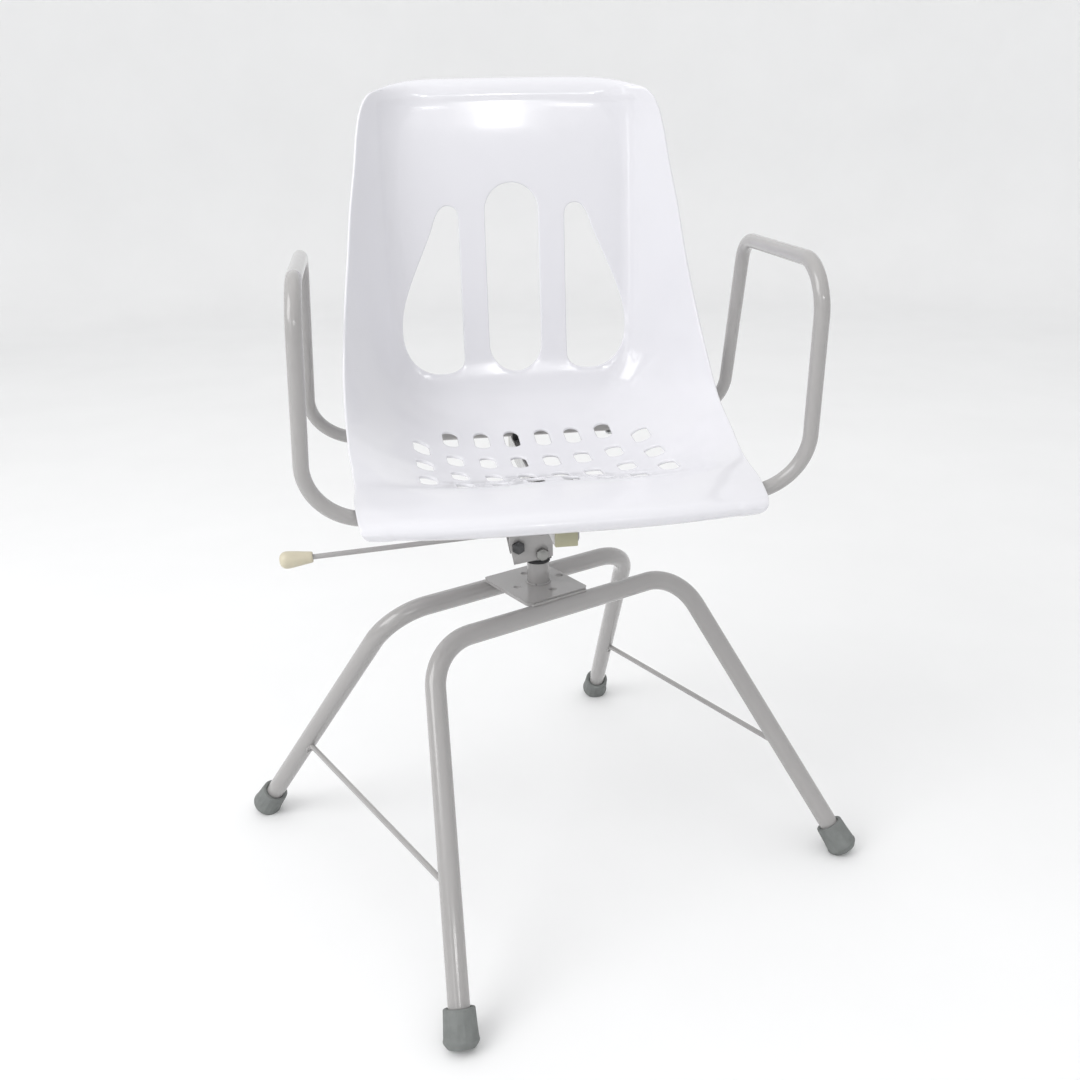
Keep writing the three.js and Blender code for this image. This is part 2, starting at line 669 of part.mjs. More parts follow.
function shellBody() {
  const positions = [];
  const faces = [];
  const layer = (SHELL_ROWS + 1) * (SHELL_COLUMNS + 1);
  for (let side = 0; side < 2; side += 1) {
    for (let row = 0; row <= SHELL_ROWS; row += 1) {
      for (let column = 0; column <= SHELL_COLUMNS; column += 1) {
        const across = (column / SHELL_COLUMNS) * 2 - 1;
        const along = row / SHELL_ROWS;
        const point = shellPoint(across, along);
        point.addScaledVector(shellNormal(across, along), -SHELL_THICKNESS * side);
        positions.push(point.x, point.y, point.z);
      }
    }
  }
  const at = (side, row, column) => side * layer + row * (SHELL_COLUMNS + 1) + column;
  const quad = (a, b, c, d) => faces.push(a, b, c, a, c, d);
  for (let row = 0; row < SHELL_ROWS; row += 1) {
    for (let column = 0; column < SHELL_COLUMNS; column += 1) {
      quad(at(0, row, column), at(0, row, column + 1), at(0, row + 1, column + 1), at(0, row + 1, column));
      quad(at(1, row, column), at(1, row + 1, column), at(1, row + 1, column + 1), at(1, row, column + 1));
    }
    quad(at(0, row, 0), at(0, row + 1, 0), at(1, row + 1, 0), at(1, row, 0));
    const last = SHELL_COLUMNS;
    quad(at(0, row, last), at(1, row, last), at(1, row + 1, last), at(0, row + 1, last));
  }
  for (let column = 0; column < SHELL_COLUMNS; column += 1) {
    const last = SHELL_ROWS;
    quad(at(0, 0, column), at(1, 0, column), at(1, 0, column + 1), at(0, 0, column + 1));
    quad(at(0, last, column), at(0, last, column + 1), at(1, last, column + 1), at(1, last, column));
  }
  const geometry = new THREE.BufferGeometry();
  geometry.setAttribute('position', new THREE.Float32BufferAttribute(positions, 3));
  geometry.setIndex(faces);
  return geometry;
}

// A slot seen from above, round at both ends, running along Y.
function drainSlot(x, y) {
  const radius = DRAIN.width / 2;
  const reach = DRAIN.length / 2 - radius;
  const shape = new THREE.Shape();
  shape.absarc(x, y + reach, radius, 0, Math.PI, false);
  shape.absarc(x, y - reach, radius, Math.PI, Math.PI * 2, false);
  const options = { depth: 80, bevelEnabled: false, steps: 1, curveSegments: 3 };
  return new THREE.ExtrudeGeometry(shape, options).translate(0, 0, 455);
}

const DRAIN_COLUMNS = [18, 53, 89];
const DRAIN_ROWS = [64, 0, -63, -122];
const OUTER_DRAIN_COLUMN = 124;
const OUTER_DRAIN_ROWS = [20, -42, -102];

function drainSlots() {
  const slots = [];
  for (const side of [-1, 1]) {
    for (const y of DRAIN_ROWS) {
      for (const x of DRAIN_COLUMNS) slots.push(drainSlot(side * x, y));
    }
    for (const y of OUTER_DRAIN_ROWS) slots.push(drainSlot(side * OUTER_DRAIN_COLUMN, y));
  }
  return slots;
}

// The three openings of the back, cut straight through along Y from outlines in x and z.
const CENTRE_SLOT = { half: 31, low: 549, high: 764 };
const SIDE_SLOT = { inner: 62, outer: 132, low: 549, high: 740 };

function backCut(shape) {
  const options = { depth: 140, bevelEnabled: false, steps: 1, curveSegments: 6 };
  return new THREE.ExtrudeGeometry(shape, options).rotateX(Math.PI / 2).translate(0, 230, 0);
}

function centreSlot() {
  const { half, low, high } = CENTRE_SLOT;
  const shape = new THREE.Shape();
  shape.absarc(0, high - half, half, 0, Math.PI, false);
  shape.absarc(0, low + half, half, Math.PI, Math.PI * 2, false);
  return backCut(shape);
}

function sideSlot(side) {
  const { inner, outer, low, high } = SIDE_SLOT;
  const shape = new THREE.Shape();
  shape.moveTo(side * inner, low + 17);
  shape.lineTo(side * inner, high - 14);
  shape.quadraticCurveTo(side * inner, high, side * (inner + 13), high);
  shape.quadraticCurveTo(side * (inner + 24), high, side * (inner + 31), high - 25);
  shape.bezierCurveTo(side * (outer - 18), high - 75, side * outer, high - 100, side * outer, low + 50);
  shape.bezierCurveTo(side * outer, low + 14, side * (outer - 20), low, side * (inner + 28), low);
  shape.quadraticCurveTo(side * inner, low, side * inner, low + 17);
  return backCut(shape);
}

// Each moulded boss stands on a cross tube and takes a screw from below.
function bosses() {
  const pieces = [];
  const holes = [];
  for (const side of [-1, 1]) {
    for (const [y, top] of [[CROSS_TUBE.front, 499], [CROSS_TUBE.rear, 519]]) {
      const foot = CROSS_TUBE.z + CROSS_TUBE.outer + GAP;
      pieces.push(upright(8, side * SHELL_SCREW_X, y, foot, top, 16));
      holes.push(upright(M6.shank + 0.2, side * SHELL_SCREW_X, y, foot - 1, SCREW_END[y] + 1.5, 12));
    }
  }
  return { pieces, holes };
}

const SCREW_END = { [CROSS_TUBE.front]: 494.5, [CROSS_TUBE.rear]: 508 };

function seatShell() {
  const { pieces, holes } = bosses();
  const whole = joined(shellBody(), ...pieces);
  return cut(whole, ...drainSlots(), centreSlot(), sideSlot(-1), sideSlot(1), ...holes);
}

// ---- assembly ----------------------------------------------------------------------------------------------
const chair = new THREE.Group();
const base = new THREE.Group();
const seat = new THREE.Group();
const lever = new THREE.Group();
const pin = new THREE.Group();
base.rotation.z = THREE.MathUtils.degToRad(BASE_TURN);
chair.position.z = DATUM;
chair.add(base, seat);
seat.add(lever, pin);

function add(group, name, material, geometry) {
  const piece = sealed(geometry);
  piece.computeVertexNormals();
  const mesh = new THREE.Mesh(piece, material.clone());
  mesh.name = name;
  group.add(mesh);
}

const SIDES = [['left', -1], ['right', 1]];
const ENDS = [['front', -1], ['rear', 1]];

for (const [end, sy] of ENDS) add(base, `leg_tube_${end}`, PAINT, legTube(sy));
for (const [name, sx] of SIDES) add(base, `brace_rod_${name}`, PAINT, brace(sx));
for (const [end, sy] of ENDS) {
  for (const [name, sx] of SIDES) add(base, `ferrule_${end}_${name}`, RUBBER_GREY, ferrule(sx, sy));
}
add(base, 'base_plate', PAINT, basePlate());
add(base, 'spindle_tube', PAINT, ring(SPINDLE.inner, SPINDLE.outer, SPINDLE_BOTTOM, SPINDLE_TOP));
add(base, 'upper_bush', BLACK_PLASTIC, upperBush());
add(base, 'lower_bush', BLACK_PLASTIC, lowerBush());

add(seat, 'swivel_post', ZINC, swivelPost());
add(seat, 'retaining_washer', ZINC, retainingWasher());
add(seat, 'retaining_bolt', ZINC, retainingBolt());
add(seat, 'lever_bracket', PAINT, leverBracket());
add(seat, 'cross_bolt', CHROME, boltAlongY(CROSS_BOLT, BOLT_FRONT, 31.5));
add(seat, 'cross_bolt_nut', ZINC, nutAlongY(CROSS_BOLT, NUT_FRONT + 2.5 + GAP));
add(seat, 'stop_bolt', DARK_STEEL, boltAlongY(STOP_BOLT, BOLT_FRONT, 28, STOP_SHANK));
add(seat, 'stop_bolt_nut', ZINC, nutAlongY(STOP_BOLT, NUT_FRONT));
add(seat, 'lever_pivot_bolt', ZINC, boltAlongY(LEVER_PIVOT, BOLT_FRONT, 28));
add(seat, 'lever_pivot_nut', ZINC, nutAlongY(LEVER_PIVOT, NUT_FRONT));
add(seat, 'pin_guide', PAINT, pinGuide());
add(seat, 'spring_tab', PAINT, springTab());
add(pin, 'lock_pin', ZINC, lockPin());
add(seat, 'pin_spring', ZINC, pinSpring());
add(lever, 'lever_rod', PAINT, leverRod());
add(lever, 'lift_pin', ZINC, liftPin());
add(lever, 'lever_knob', IVORY, knob());

add(seat, 'centre_beam', PAINT, centreBeam());
add(seat, 'beam_plug_front', IVORY, beamPlug(BEAM.front, -1));
add(seat, 'beam_plug_rear', IVORY, beamPlug(BEAM.rear, 1));
for (const [end] of ENDS) {
  const y = CROSS_TUBE[end];
  add(seat, `cross_tube_${end}`, PAINT, crossTube(y));
  add(seat, `tube_saddle_${end}`, BLACK_PLASTIC, saddle(y));
  add(seat, `frame_bolt_${end}`, ZINC, frameBolt(y));
  for (const [name, side] of SIDES) {
    const x = side * (CROSS_TUBE.half - 15);
    add(seat, `arm_screw_${end}_${name}`, ZINC, screwUp(x, y, SCREW_SEAT, CROSS_TUBE.z - 3));
    add(seat, `shell_screw_${end}_${name}`, ZINC, screwUp(side * SHELL_SCREW_X, y, SCREW_SEAT, SCREW_END[y]));
  }
}
for (const [name, side] of SIDES) add(seat, `arm_loop_${name}`, PAINT, armLoop(side));
add(seat, 'seat_shell', SHELL_WHITE, seatShell());

export default chair;
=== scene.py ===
import json
import math

import bmesh
import bpy
import numpy as np
from mathutils import Matrix, Vector, noise
from mathutils.geometry import delaunay_2d_cdt


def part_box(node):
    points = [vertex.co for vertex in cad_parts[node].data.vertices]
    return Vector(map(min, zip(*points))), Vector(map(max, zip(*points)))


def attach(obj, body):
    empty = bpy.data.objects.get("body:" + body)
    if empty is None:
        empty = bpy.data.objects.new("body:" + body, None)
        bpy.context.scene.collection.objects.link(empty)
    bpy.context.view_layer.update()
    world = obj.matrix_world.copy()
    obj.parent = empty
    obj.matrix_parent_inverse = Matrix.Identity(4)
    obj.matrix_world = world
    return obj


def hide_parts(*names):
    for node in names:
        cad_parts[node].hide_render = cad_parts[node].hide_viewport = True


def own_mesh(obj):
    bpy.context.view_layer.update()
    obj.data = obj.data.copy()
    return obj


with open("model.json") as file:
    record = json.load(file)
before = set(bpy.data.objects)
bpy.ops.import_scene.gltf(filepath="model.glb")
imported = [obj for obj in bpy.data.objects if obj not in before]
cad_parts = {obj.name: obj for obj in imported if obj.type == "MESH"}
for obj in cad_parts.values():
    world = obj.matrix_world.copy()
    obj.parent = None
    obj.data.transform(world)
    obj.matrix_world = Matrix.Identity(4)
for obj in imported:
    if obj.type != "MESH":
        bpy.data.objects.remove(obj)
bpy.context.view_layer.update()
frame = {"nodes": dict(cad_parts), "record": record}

MM = 0.001
# The clearance, in millimetres, between parts that fit together without touching.
GAP = 0.3
BODY_OF = {n: b for b, ns in frame["record"]["behaviour"]["bodies"].items() for n in ns}
SLOT_OF = {s["node"]: s["material_slot"] for s in frame["record"]["subparts"]}
BASE_TURN = Matrix.Rotation(math.radians(25.5), 3, "Z")
# Heights below are in millimetres from a datum that stands this far above the floor.
DATUM = Vector((0, 0, 7.5))


def box_mm(node):
    """The CAD box of a node in millimetres, its heights from the datum."""
    return [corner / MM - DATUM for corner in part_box(node)]


# ---- camera, floor and light ---------------------------------------------------------------------
CAMERA_PLACE = (-0.1738, -1.1919, 0.8447)
CAMERA_AZIMUTH, CAMERA_ELEVATION, CAMERA_ROLL = -8.3785, 20.6586, -1.2049
CAMERA_LENS = 37.652
CAMERA_SHIFT = (0.0009, -0.0006)


def set_camera():
    angles = (CAMERA_AZIMUTH, CAMERA_ELEVATION, CAMERA_ROLL)
    azimuth, elevation, roll = (math.radians(angle) for angle in angles)
    back = Vector((
        math.sin(azimuth) * math.cos(elevation),
        -math.cos(azimuth) * math.cos(elevation),
        math.sin(elevation),
    ))
    right = Vector((math.cos(azimuth), math.sin(azimuth), 0))
    right = math.cos(roll) * right + math.sin(roll) * back.cross(right)
    up = back.cross(right)
    data = bpy.data.cameras.new("camera")
    data.lens = CAMERA_LENS
    data.sensor_width = 36
    data.shift_x, data.shift_y = CAMERA_SHIFT
    data.clip_end = 100
    camera = bpy.data.objects.new("camera", data)
    turn = Matrix((right, up, back)).transposed().to_4x4()
    camera.matrix_world = Matrix.Translation(CAMERA_PLACE) @ turn
    bpy.context.scene.collection.objects.link(camera)
    bpy.context.scene.camera = camera


def area_light(name, position, aim, size, power):
    data = bpy.data.lights.new(name, "AREA")
    data.shape = "RECTANGLE"
    data.size, data.size_y = size
    data.energy = power
    light = bpy.data.objects.new(name, data)
    light.location = position
    light.rotation_euler = (Vector(aim) - Vector(position)).to_track_quat("-Z", "Y").to_euler()
    bpy.context.scene.collection.objects.link(light)


FLOOR_RADIUS, SWEEP, WALL_HEIGHT = 3.2, 1.6, 2.9
SKY_STRENGTH = 0.95
SEAT, BACK = (0, 0, 0.45), (0, 0.15, 0.83)
# Each light's name, position, target, size in metres and power in watts. The windows glint on the back.
LIGHTS = (
    ("key", (-2.4, -1.1, 2.3), SEAT, (2.0, 2.0), 44),
    ("top", (0.1, -0.2, 3.4), (0, 0, 0.5), (3.2, 3.2), 8),
    ("strip", (-1.5, -2.1, 1.1), SEAT, (0.1, 1.5), 2.5),
    ("window_left", (-0.04, -2.85, 1.58), BACK, (0.34, 0.12), 1.6),
    ("window_middle", (0.36, -2.85, 1.46), BACK, (0.16, 0.34), 2.0),
    ("window_right", (0.76, -2.85, 1.58), BACK, (0.34, 0.12), 1.6),
)


def set_stage():
    """A round floor that sweeps up into a wall, the sky's even light, and the lights."""
    bm = bmesh.new()
    outline = [(0, 0), (FLOOR_RADIUS, 0), (FLOOR_RADIUS + SWEEP, 0), (FLOOR_RADIUS + SWEEP, SWEEP)]
    profile = rounded(outline, SWEEP, 16)[:-1] + [(FLOOR_RADIUS + SWEEP, WALL_HEIGHT)]
    turned(bm, profile, sides=96, open_end=True)
    finish_mesh(bm)
    mesh = bpy.data.meshes.new("floor")
    bm.to_mesh(mesh)
    bm.free()
    floor = bpy.data.objects.new("floor", mesh)
    floor.data.materials.append(floor_material())
    bpy.context.scene.collection.objects.link(floor)
    world = bpy.data.worlds.new("studio")
    world.use_nodes = True
    sky = world.node_tree.nodes["Background"]
    sky.inputs["Color"].default_value = (1, 1, 1, 1)
    sky.inputs["Strength"].default_value = SKY_STRENGTH
    bpy.context.scene.world = world
    for light in LIGHTS:
        area_light(*light)
    bpy.context.scene.view_settings.view_transform = "Standard"
    bpy.context.scene.view_settings.look = "None"


# ---- materials -----------------------------------------------------------------------------------
def new_material(name):
    material = bpy.data.materials.new(name)
    material.use_nodes = True
    tree = material.node_tree
    return material, tree, tree.nodes["Principled BSDF"]


def noise_node(tree, scale, detail=4, roughness=0.55):
    coords = tree.nodes.new("ShaderNodeTexCoord")
    node = tree.nodes.new("ShaderNodeTexNoise")
    node.inputs["Scale"].default_value = scale
    node.inputs["Detail"].default_value = detail
    node.inputs["Roughness"].default_value = roughness
    tree.links.new(coords.outputs["Object"], node.inputs["Vector"])
    return node.outputs["Fac"]


NOISE_LOW, NOISE_HIGH = 0.3, 0.7


def ramp(tree, value, dark, light):
    node = tree.nodes.new("ShaderNodeValToRGB")
    node.color_ramp.elements[0].position = NOISE_LOW
    node.color_ramp.elements[1].position = NOISE_HIGH
    node.color_ramp.elements[0].color = dark
    node.color_ramp.elements[1].color = light
    tree.links.new(value, node.inputs["Fac"])
    return node.outputs["Color"]


def spread(tree, value, low, high):
    node = tree.nodes.new("ShaderNodeMapRange")
    node.inputs["From Min"].default_value = NOISE_LOW
    node.inputs["From Max"].default_value = NOISE_HIGH
    node.inputs["To Min"].default_value = low
    node.inputs["To Max"].default_value = high
    tree.links.new(value, node.inputs["Value"])
    return node.outputs["Result"]


def bumped(tree, height, strength, distance, below=None):
    node = tree.nodes.new("ShaderNodeBump")
    node.inputs["Strength"].default_value = strength
    node.inputs["Distance"].default_value = distance
    tree.links.new(height, node.inputs["Height"])
    if below:
        tree.links.new(below, node.inputs["Normal"])
    return node.outputs["Normal"]


def shade(colour, factor):
    return tuple(min(1, c * factor) for c in colour) + (1,)


def make_finish(name, colour, vary, rough, grain, metallic=0, coat=0, waves=None):
    """A finish with uneven colour, uneven gloss and a fine grain.

    vary is a noise scale and the share that the colour changes by; rough is the lowest and highest
    roughness and a noise scale; grain and waves are a noise scale, a bump strength and a bump height.
    """
    material, tree, shader = new_material(name)
    patches = noise_node(tree, vary[0], 5)
    tree.links.new(
        ramp(tree, patches, shade(colour, 1 - vary[1]), shade(colour, 1 + vary[1])),
        shader.inputs["Base Color"],
    )
    wear = noise_node(tree, rough[2], 6, 0.6)
    tree.links.new(spread(tree, wear, rough[0], rough[1]), shader.inputs["Roughness"])
    normal = bumped(tree, noise_node(tree, grain[0], 3), grain[1], grain[2])
    if waves:
        normal = bumped(tree, noise_node(tree, waves[0], 2), waves[1], waves[2], normal)
    tree.links.new(normal, shader.inputs["Normal"])
    shader.inputs["Metallic"].default_value = metallic
    shader.inputs["Coat Weight"].default_value = coat
    shader.inputs["Coat Roughness"].default_value = 0.06
    return material


def floor_material():
    material, tree, shader = new_material("floor_sweep")
    tone = ramp(tree, noise_node(tree, 3, 3), (0.85, 0.852, 0.855, 1), (0.87, 0.872, 0.875, 1))
    tree.links.new(tone, shader.inputs["Base Color"])
    shader.inputs["Roughness"].default_value = 0.9
    return material


MATERIALS = {
    "powder_coated_steel": make_finish(
        "powder_coat", (0.34, 0.331, 0.327), (7, 0.012), (0.13, 0.19, 40), (1500, 0.06, 0.0001),
        coat=0.5, waves=(120, 0.03, 0.0003),
    ),
    "white_shell_plastic": make_finish(
        "shell_plastic", (0.705, 0.702, 0.736), (5, 0.012), (0.10, 0.17, 26), (2200, 0.05, 0.0001),
        coat=0.3, waves=(34, 0.05, 0.001),
    ),
    "grey_rubber": make_finish(
        "ferrule_rubber", (0.172, 0.182, 0.177), (70, 0.12), (0.6, 0.85, 160), (1400, 0.3, 0.0002),
        waves=(320, 0.2, 0.0003),
    ),
    "ivory_plastic": make_finish(
        "ivory_moulding", (0.55, 0.505, 0.385), (40, 0.05), (0.32, 0.5, 120), (1600, 0.12, 0.0002), coat=0.1,
    ),
    # A darker copy of the ivory plastic for the beam plugs: its lower tone is painted shade, standing in for
    # the shadow under the seat.
    "plug_plastic_painted_shade": make_finish(
        "plug_moulding_painted_shade", (0.375, 0.362, 0.25), (60, 0.06), (0.4, 0.6, 120), (1600, 0.15, 0.0002),
    ),
    "black_plastic": make_finish(
        "black_moulding", (0.014, 0.014, 0.016), (80, 0.3), (0.4, 0.6, 200), (1500, 0.2, 0.0002),
    ),
    "zinc_plated_steel": make_finish(
        "zinc_plate", (0.52, 0.53, 0.53), (160, 0.12), (0.25, 0.45, 300), (1200, 0.15, 0.0001), metallic=1,
    ),
    "chrome_bolt": make_finish(
        "bright_plate", (0.27, 0.27, 0.26), (120, 0.12), (0.14, 0.26, 200), (900, 0.06, 0.0001), metallic=1,
    ),
    "dark_bolt_steel": make_finish(
        "dark_oxide", (0.085, 0.085, 0.088), (150, 0.3), (0.3, 0.55, 240), (1100, 0.25, 0.0001),
        metallic=0.8,
    ),
    "spring_steel": make_finish(
        "spring_wire", (0.42, 0.42, 0.42), (300, 0.15), (0.22, 0.4, 500), (2500, 0.2, 0.00005), metallic=1,
    ),
}


# ---- mesh tools ----------------------------------------------------------------------------------
def finish_mesh(bm, sharp=35):
    bmesh.ops.recalc_face_normals(bm, faces=bm.faces)
    for face in bm.faces:
        face.smooth = True
    for edge in bm.edges:
        if len(edge.link_faces) == 2 and edge.calc_face_angle(0) > math.radians(sharp):
            edge.smooth = False


def place(bm, name, body, slot, nodes=()):
    """Makes a finished mesh into a piece that rides a body and stands in for CAD nodes."""
    mesh = bpy.data.meshes.new(name)
    bm.to_mesh(mesh)
    bm.free()
    piece = bpy.data.objects.new(name, mesh)
    piece.data.materials.append(MATERIALS[slot])
    bpy.context.scene.collection.objects.link(piece)
    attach(piece, body)
    if nodes:
        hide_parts(*nodes)
    return piece


def to_metres(bm, turn):
    """Takes a mesh from millimetres over the datum to metres over the floor, with the base's turn."""
    bmesh.ops.translate(bm, vec=DATUM, verts=bm.verts)
    bmesh.ops.scale(bm, vec=(MM, MM, MM), verts=bm.verts)
    if turn:
        bmesh.ops.rotate(bm, cent=(0, 0, 0), matrix=BASE_TURN, verts=bm.verts)


def stand_for(node, bm, turn=False, sharp=35):
    """Finishes a mesh made in millimetres and puts it in place of one CAD node."""
    finish_mesh(bm, sharp)
    to_metres(bm, turn)
    return place(bm, node + "_finished", BODY_OF[node], SLOT_OF[node], [node])


def join_rows(bm, rows):
    """Joins each row of vertices to the next with quads. Each row is closed."""
    for a, b in zip(rows, rows[1:]):
        for i in range(len(a)):
            j = (i + 1) % len(a)
            bm.faces.new((a[i], a[j], b[j], b[i]))


def add_grid(bm, rings, closed_rows=False):
    """Makes equal rings of points into rows and joins them, the last to the first if closed_rows."""
    rows = [[bm.verts.new(p) for p in ring] for ring in rings]
    join_rows(bm, rows + rows[:1] if closed_rows else rows)
    return rows


def cut_flat(points, loops):
    """Triangles through the points and along closed loops: all points in order, and the triangles."""
    points, edges = [tuple(p) for p in points], []
    for loop in loops:
        start, count = len(points), len(loop)
        points += [tuple(p) for p in loop]
        edges += [(start + i, start + (i + 1) % count) for i in range(count)]
    flat, _, faces, *_ = delaunay_2d_cdt([Vector(p) for p in points], edges, [], 0, 1e-6)
    return flat, faces


def turned(bm, profile, axis=None, sides=48, ripple=None, open_end=False):
    """A closed solid turned from [radius, height] pairs; radius 0 closes it on its axis."""
    axis = axis or Matrix.Identity(4)

    def ring(radius, height):
        points = []
        for i in range(sides):
            angle = 2 * math.pi * i / sides
            r = radius * (1 + ripple(angle, height)) if ripple else radius
            points.append(axis @ Vector((r * math.cos(angle), r * math.sin(angle), height)))
        return points

    open_profile = [p for p in profile if p[0] > 1e-6]
    rows = add_grid(bm, [ring(*p) for p in open_profile], closed_rows=len(open_profile) == len(profile))
    if len(open_profile) < len(profile):
        ends = ((profile[0], rows[0]), (profile[-1], rows[-1]))
        for (radius, height), row in ends[: 1 if open_end else 2]:
            centre = bm.verts.new(axis @ Vector((0, 0, height)))
            for i in range(sides):
                bm.faces.new((row[i], row[(i + 1) % sides], centre))


def rounded(points, radius, steps=4):
    """Rounds the inner corners of an open [radius, height] profile."""
    result = [points[0]]
    for before, corner, after in zip(points, points[1:], points[2:]):
        b, c, a = (Vector(p) for p in (before, corner, after))
        reach = min(radius, (b - c).length / 2.2, (a - c).length / 2.2)
        start, end = c + (b - c).normalized() * reach, c + (a - c).normalized() * reach
        for i in range(steps + 1):
            t = i / steps
            result.append(tuple(start * (1 - t) ** 2 + c * (2 * t * (1 - t)) + end * t * t))
    result.append(points[-1])
    return result


def frame_on(origin, direction):
    """A frame with its +Z along the direction."""
    turn = Vector((0, 0, 1)).rotation_difference(Vector(direction).normalized())
    return Matrix.Translation(origin) @ turn.to_matrix().to_4x4()


def bent_path(corners, bends, step=3):
    """[point, tangent] stations along straight runs and rounded corners."""
    corners = [Vector(c) for c in corners]
    stations = [(corners[0], (corners[1] - corners[0]).normalized())]
    for i, bend in enumerate(bends, 1):
        before = (corners[i] - corners[i - 1]).normalized()
        after = (corners[i + 1] - corners[i]).normalized()
        angle = before.angle(after)
        side = (after - before * before.dot(after)).normalized()
        centre = corners[i] - before * bend * math.tan(angle / 2) + side * bend
        steps = max(2, round(math.degrees(angle) / step))
        for k in range(steps + 1):
            turn = angle * k / steps
            point = centre - side * bend * math.cos(turn) + before * bend * math.sin(turn)
            stations.append((point, before * math.cos(turn) + side * math.sin(turn)))
    stations.append((corners[-1], (corners[-1] - corners[-2]).normalized()))
    return stations


def add_tube(bm, stations, outer, inner=0, sides=40):
    """Sweeps a round section along the stations, hollow where inner isn't 0."""
    normal = stations[0][1].orthogonal().normalized()
    outer_rings, inner_rings = [], []
    last = stations[0][1]
    for point, tangent in stations:
        normal = last.rotation_difference(tangent) @ normal
        normal = (normal - tangent * normal.dot(tangent)).normalized()
        last = tangent
        binormal = tangent.cross(normal)
        spokes = []
        for i in range(sides):
            angle = 2 * math.pi * i / sides
            spokes.append(normal * math.cos(angle) + binormal * math.sin(angle))
        outer_rings.append([point + s * outer for s in spokes])
        inner_rings.append([point + s * inner for s in spokes])
    if inner:
        add_grid(bm, outer_rings + inner_rings[::-1], closed_rows=True)
        return
    rows = add_grid(bm, outer_rings)
    bm.faces.new(rows[0])
    bm.faces.new(rows[-1])


def bevelled_copy(node, width, segments=2, angle=28):
    """A copy of a CAD node's mesh with its flat faces joined and its edges rounded, in metres."""
    bm = bmesh.new()
    bm.from_mesh(frame["nodes"][node].data)
    bmesh.ops.remove_doubles(bm, verts=bm.verts, dist=1e-5)
    bmesh.ops.dissolve_limit(
        bm, angle_limit=math.radians(1), use_dissolve_boundaries=False, verts=bm.verts, edges=bm.edges,
    )
    edges = [e for e in bm.edges if len(e.link_faces) == 2 and e.calc_face_angle(0) > math.radians(angle)]
    bmesh.ops.bevel(
        bm, geom=edges, offset=width * MM, segments=segments, profile=0.5, affect="EDGES",
        clamp_overlap=True,
    )
    finish_mesh(bm, 30)
    return place(bm, node + "_finished", BODY_OF[node], SLOT_OF[node], [node])


def inside(loop, points):
    """Which points lie in a closed outline."""
    x, y = points[:, 0], points[:, 1]
    result = np.zeros(len(points), bool)
    for (x0, y0), (x1, y1) in zip(loop, np.roll(loop, -1, 0)):
        if y0 == y1:
            continue
        crosses = (y0 > y) != (y1 > y)
        result ^= crosses & (x < (x1 - x0) * (y - y0) / (y1 - y0) + x0)
    return result


def grown(outline, amount):
    """Moves each point of a closed outline outward."""
    outline = np.array(outline, float)
    tangent = np.roll(outline, -1, 0) - np.roll(outline, 1, 0)
    tangent /= np.linalg.norm(tangent, axis=1)[:, None]
    following = np.roll(outline, -1, 0)
    area = np.sum(outline[:, 0] * following[:, 1] - following[:, 0] * outline[:, 1])
    return outline + math.copysign(amount, area) * np.column_stack([tangent[:, 1], -tangent[:, 0]])


# ---- base ----------------------------------------------------------------------------------------
LEG_OUTER, LEG_INNER = 11.1, 9.6
TOP_RUN_Z, TOP_RUN_Y, TOP_RUN_X = 316.3, 48, 167.6
FOOT_X, FOOT_Y = 270, 254.3
LEG_BEND = 60
LEG_END_Z = 9
BRACE_FRACTION, BRACE_RADIUS = 0.619, 3.2
BRACE_WELD = {"radius": 1.7, "along": 5.4, "across": 3.5, "points": 28}


def leg_corner(sx, sy):
    """Where the axes of a leg's top run and of its slope meet."""
    return Vector((sx * TOP_RUN_X, sy * TOP_RUN_Y, TOP_RUN_Z))


def leg_foot(sx, sy):
    """Where a leg's axis meets the floor."""
    return Vector((sx * FOOT_X, sy * FOOT_Y, -DATUM.z))


def leg_point(sx, sy, fraction):
    return leg_corner(sx, sy).lerp(leg_foot(sx, sy), fraction)


def make_leg(node, sy):
    end = 1 - LEG_END_Z / (TOP_RUN_Z + DATUM.z)
    corners = [leg_point(-1, sy, end), leg_corner(-1, sy), leg_corner(1, sy), leg_point(1, sy, end)]
    bm = bmesh.new()
    add_tube(bm, bent_path(corners, (LEG_BEND, LEG_BEND)), LEG_OUTER, LEG_INNER)
    stand_for(node, bm, turn=True)


def bead(bm, points, radius, seed, closed=False, sides=10):
    """A weld bead along points: an uneven round cord with ripples."""
    rings = []
    count = len(points)
    turns = [2 * math.pi * k / sides for k in range(sides)]
    for i, point in enumerate(points):
        before = points[i - 1] if i or closed else points[0]
        after = points[(i + 1) % count] if i + 1 < count or closed else points[-1]
        tangent = (after - before).normalized()
        side = tangent.orthogonal().normalized()
        other = tangent.cross(side)
        swell = 1 + 0.22 * math.sin(i * 2.1 + seed) + 0.12 * noise.noise(point * 0.4)
        taper = 1 if closed else min(1, 0.35 + 0.5 * min(i, count - 1 - i))
        r = radius * swell * taper
        rings.append([point + side * r * math.cos(turn) + other * r * math.sin(turn) for turn in turns])
    rows = add_grid(bm, rings, closed_rows=closed)
    if not closed:
        bm.faces.new(rows[0])
        bm.faces.new(rows[-1])


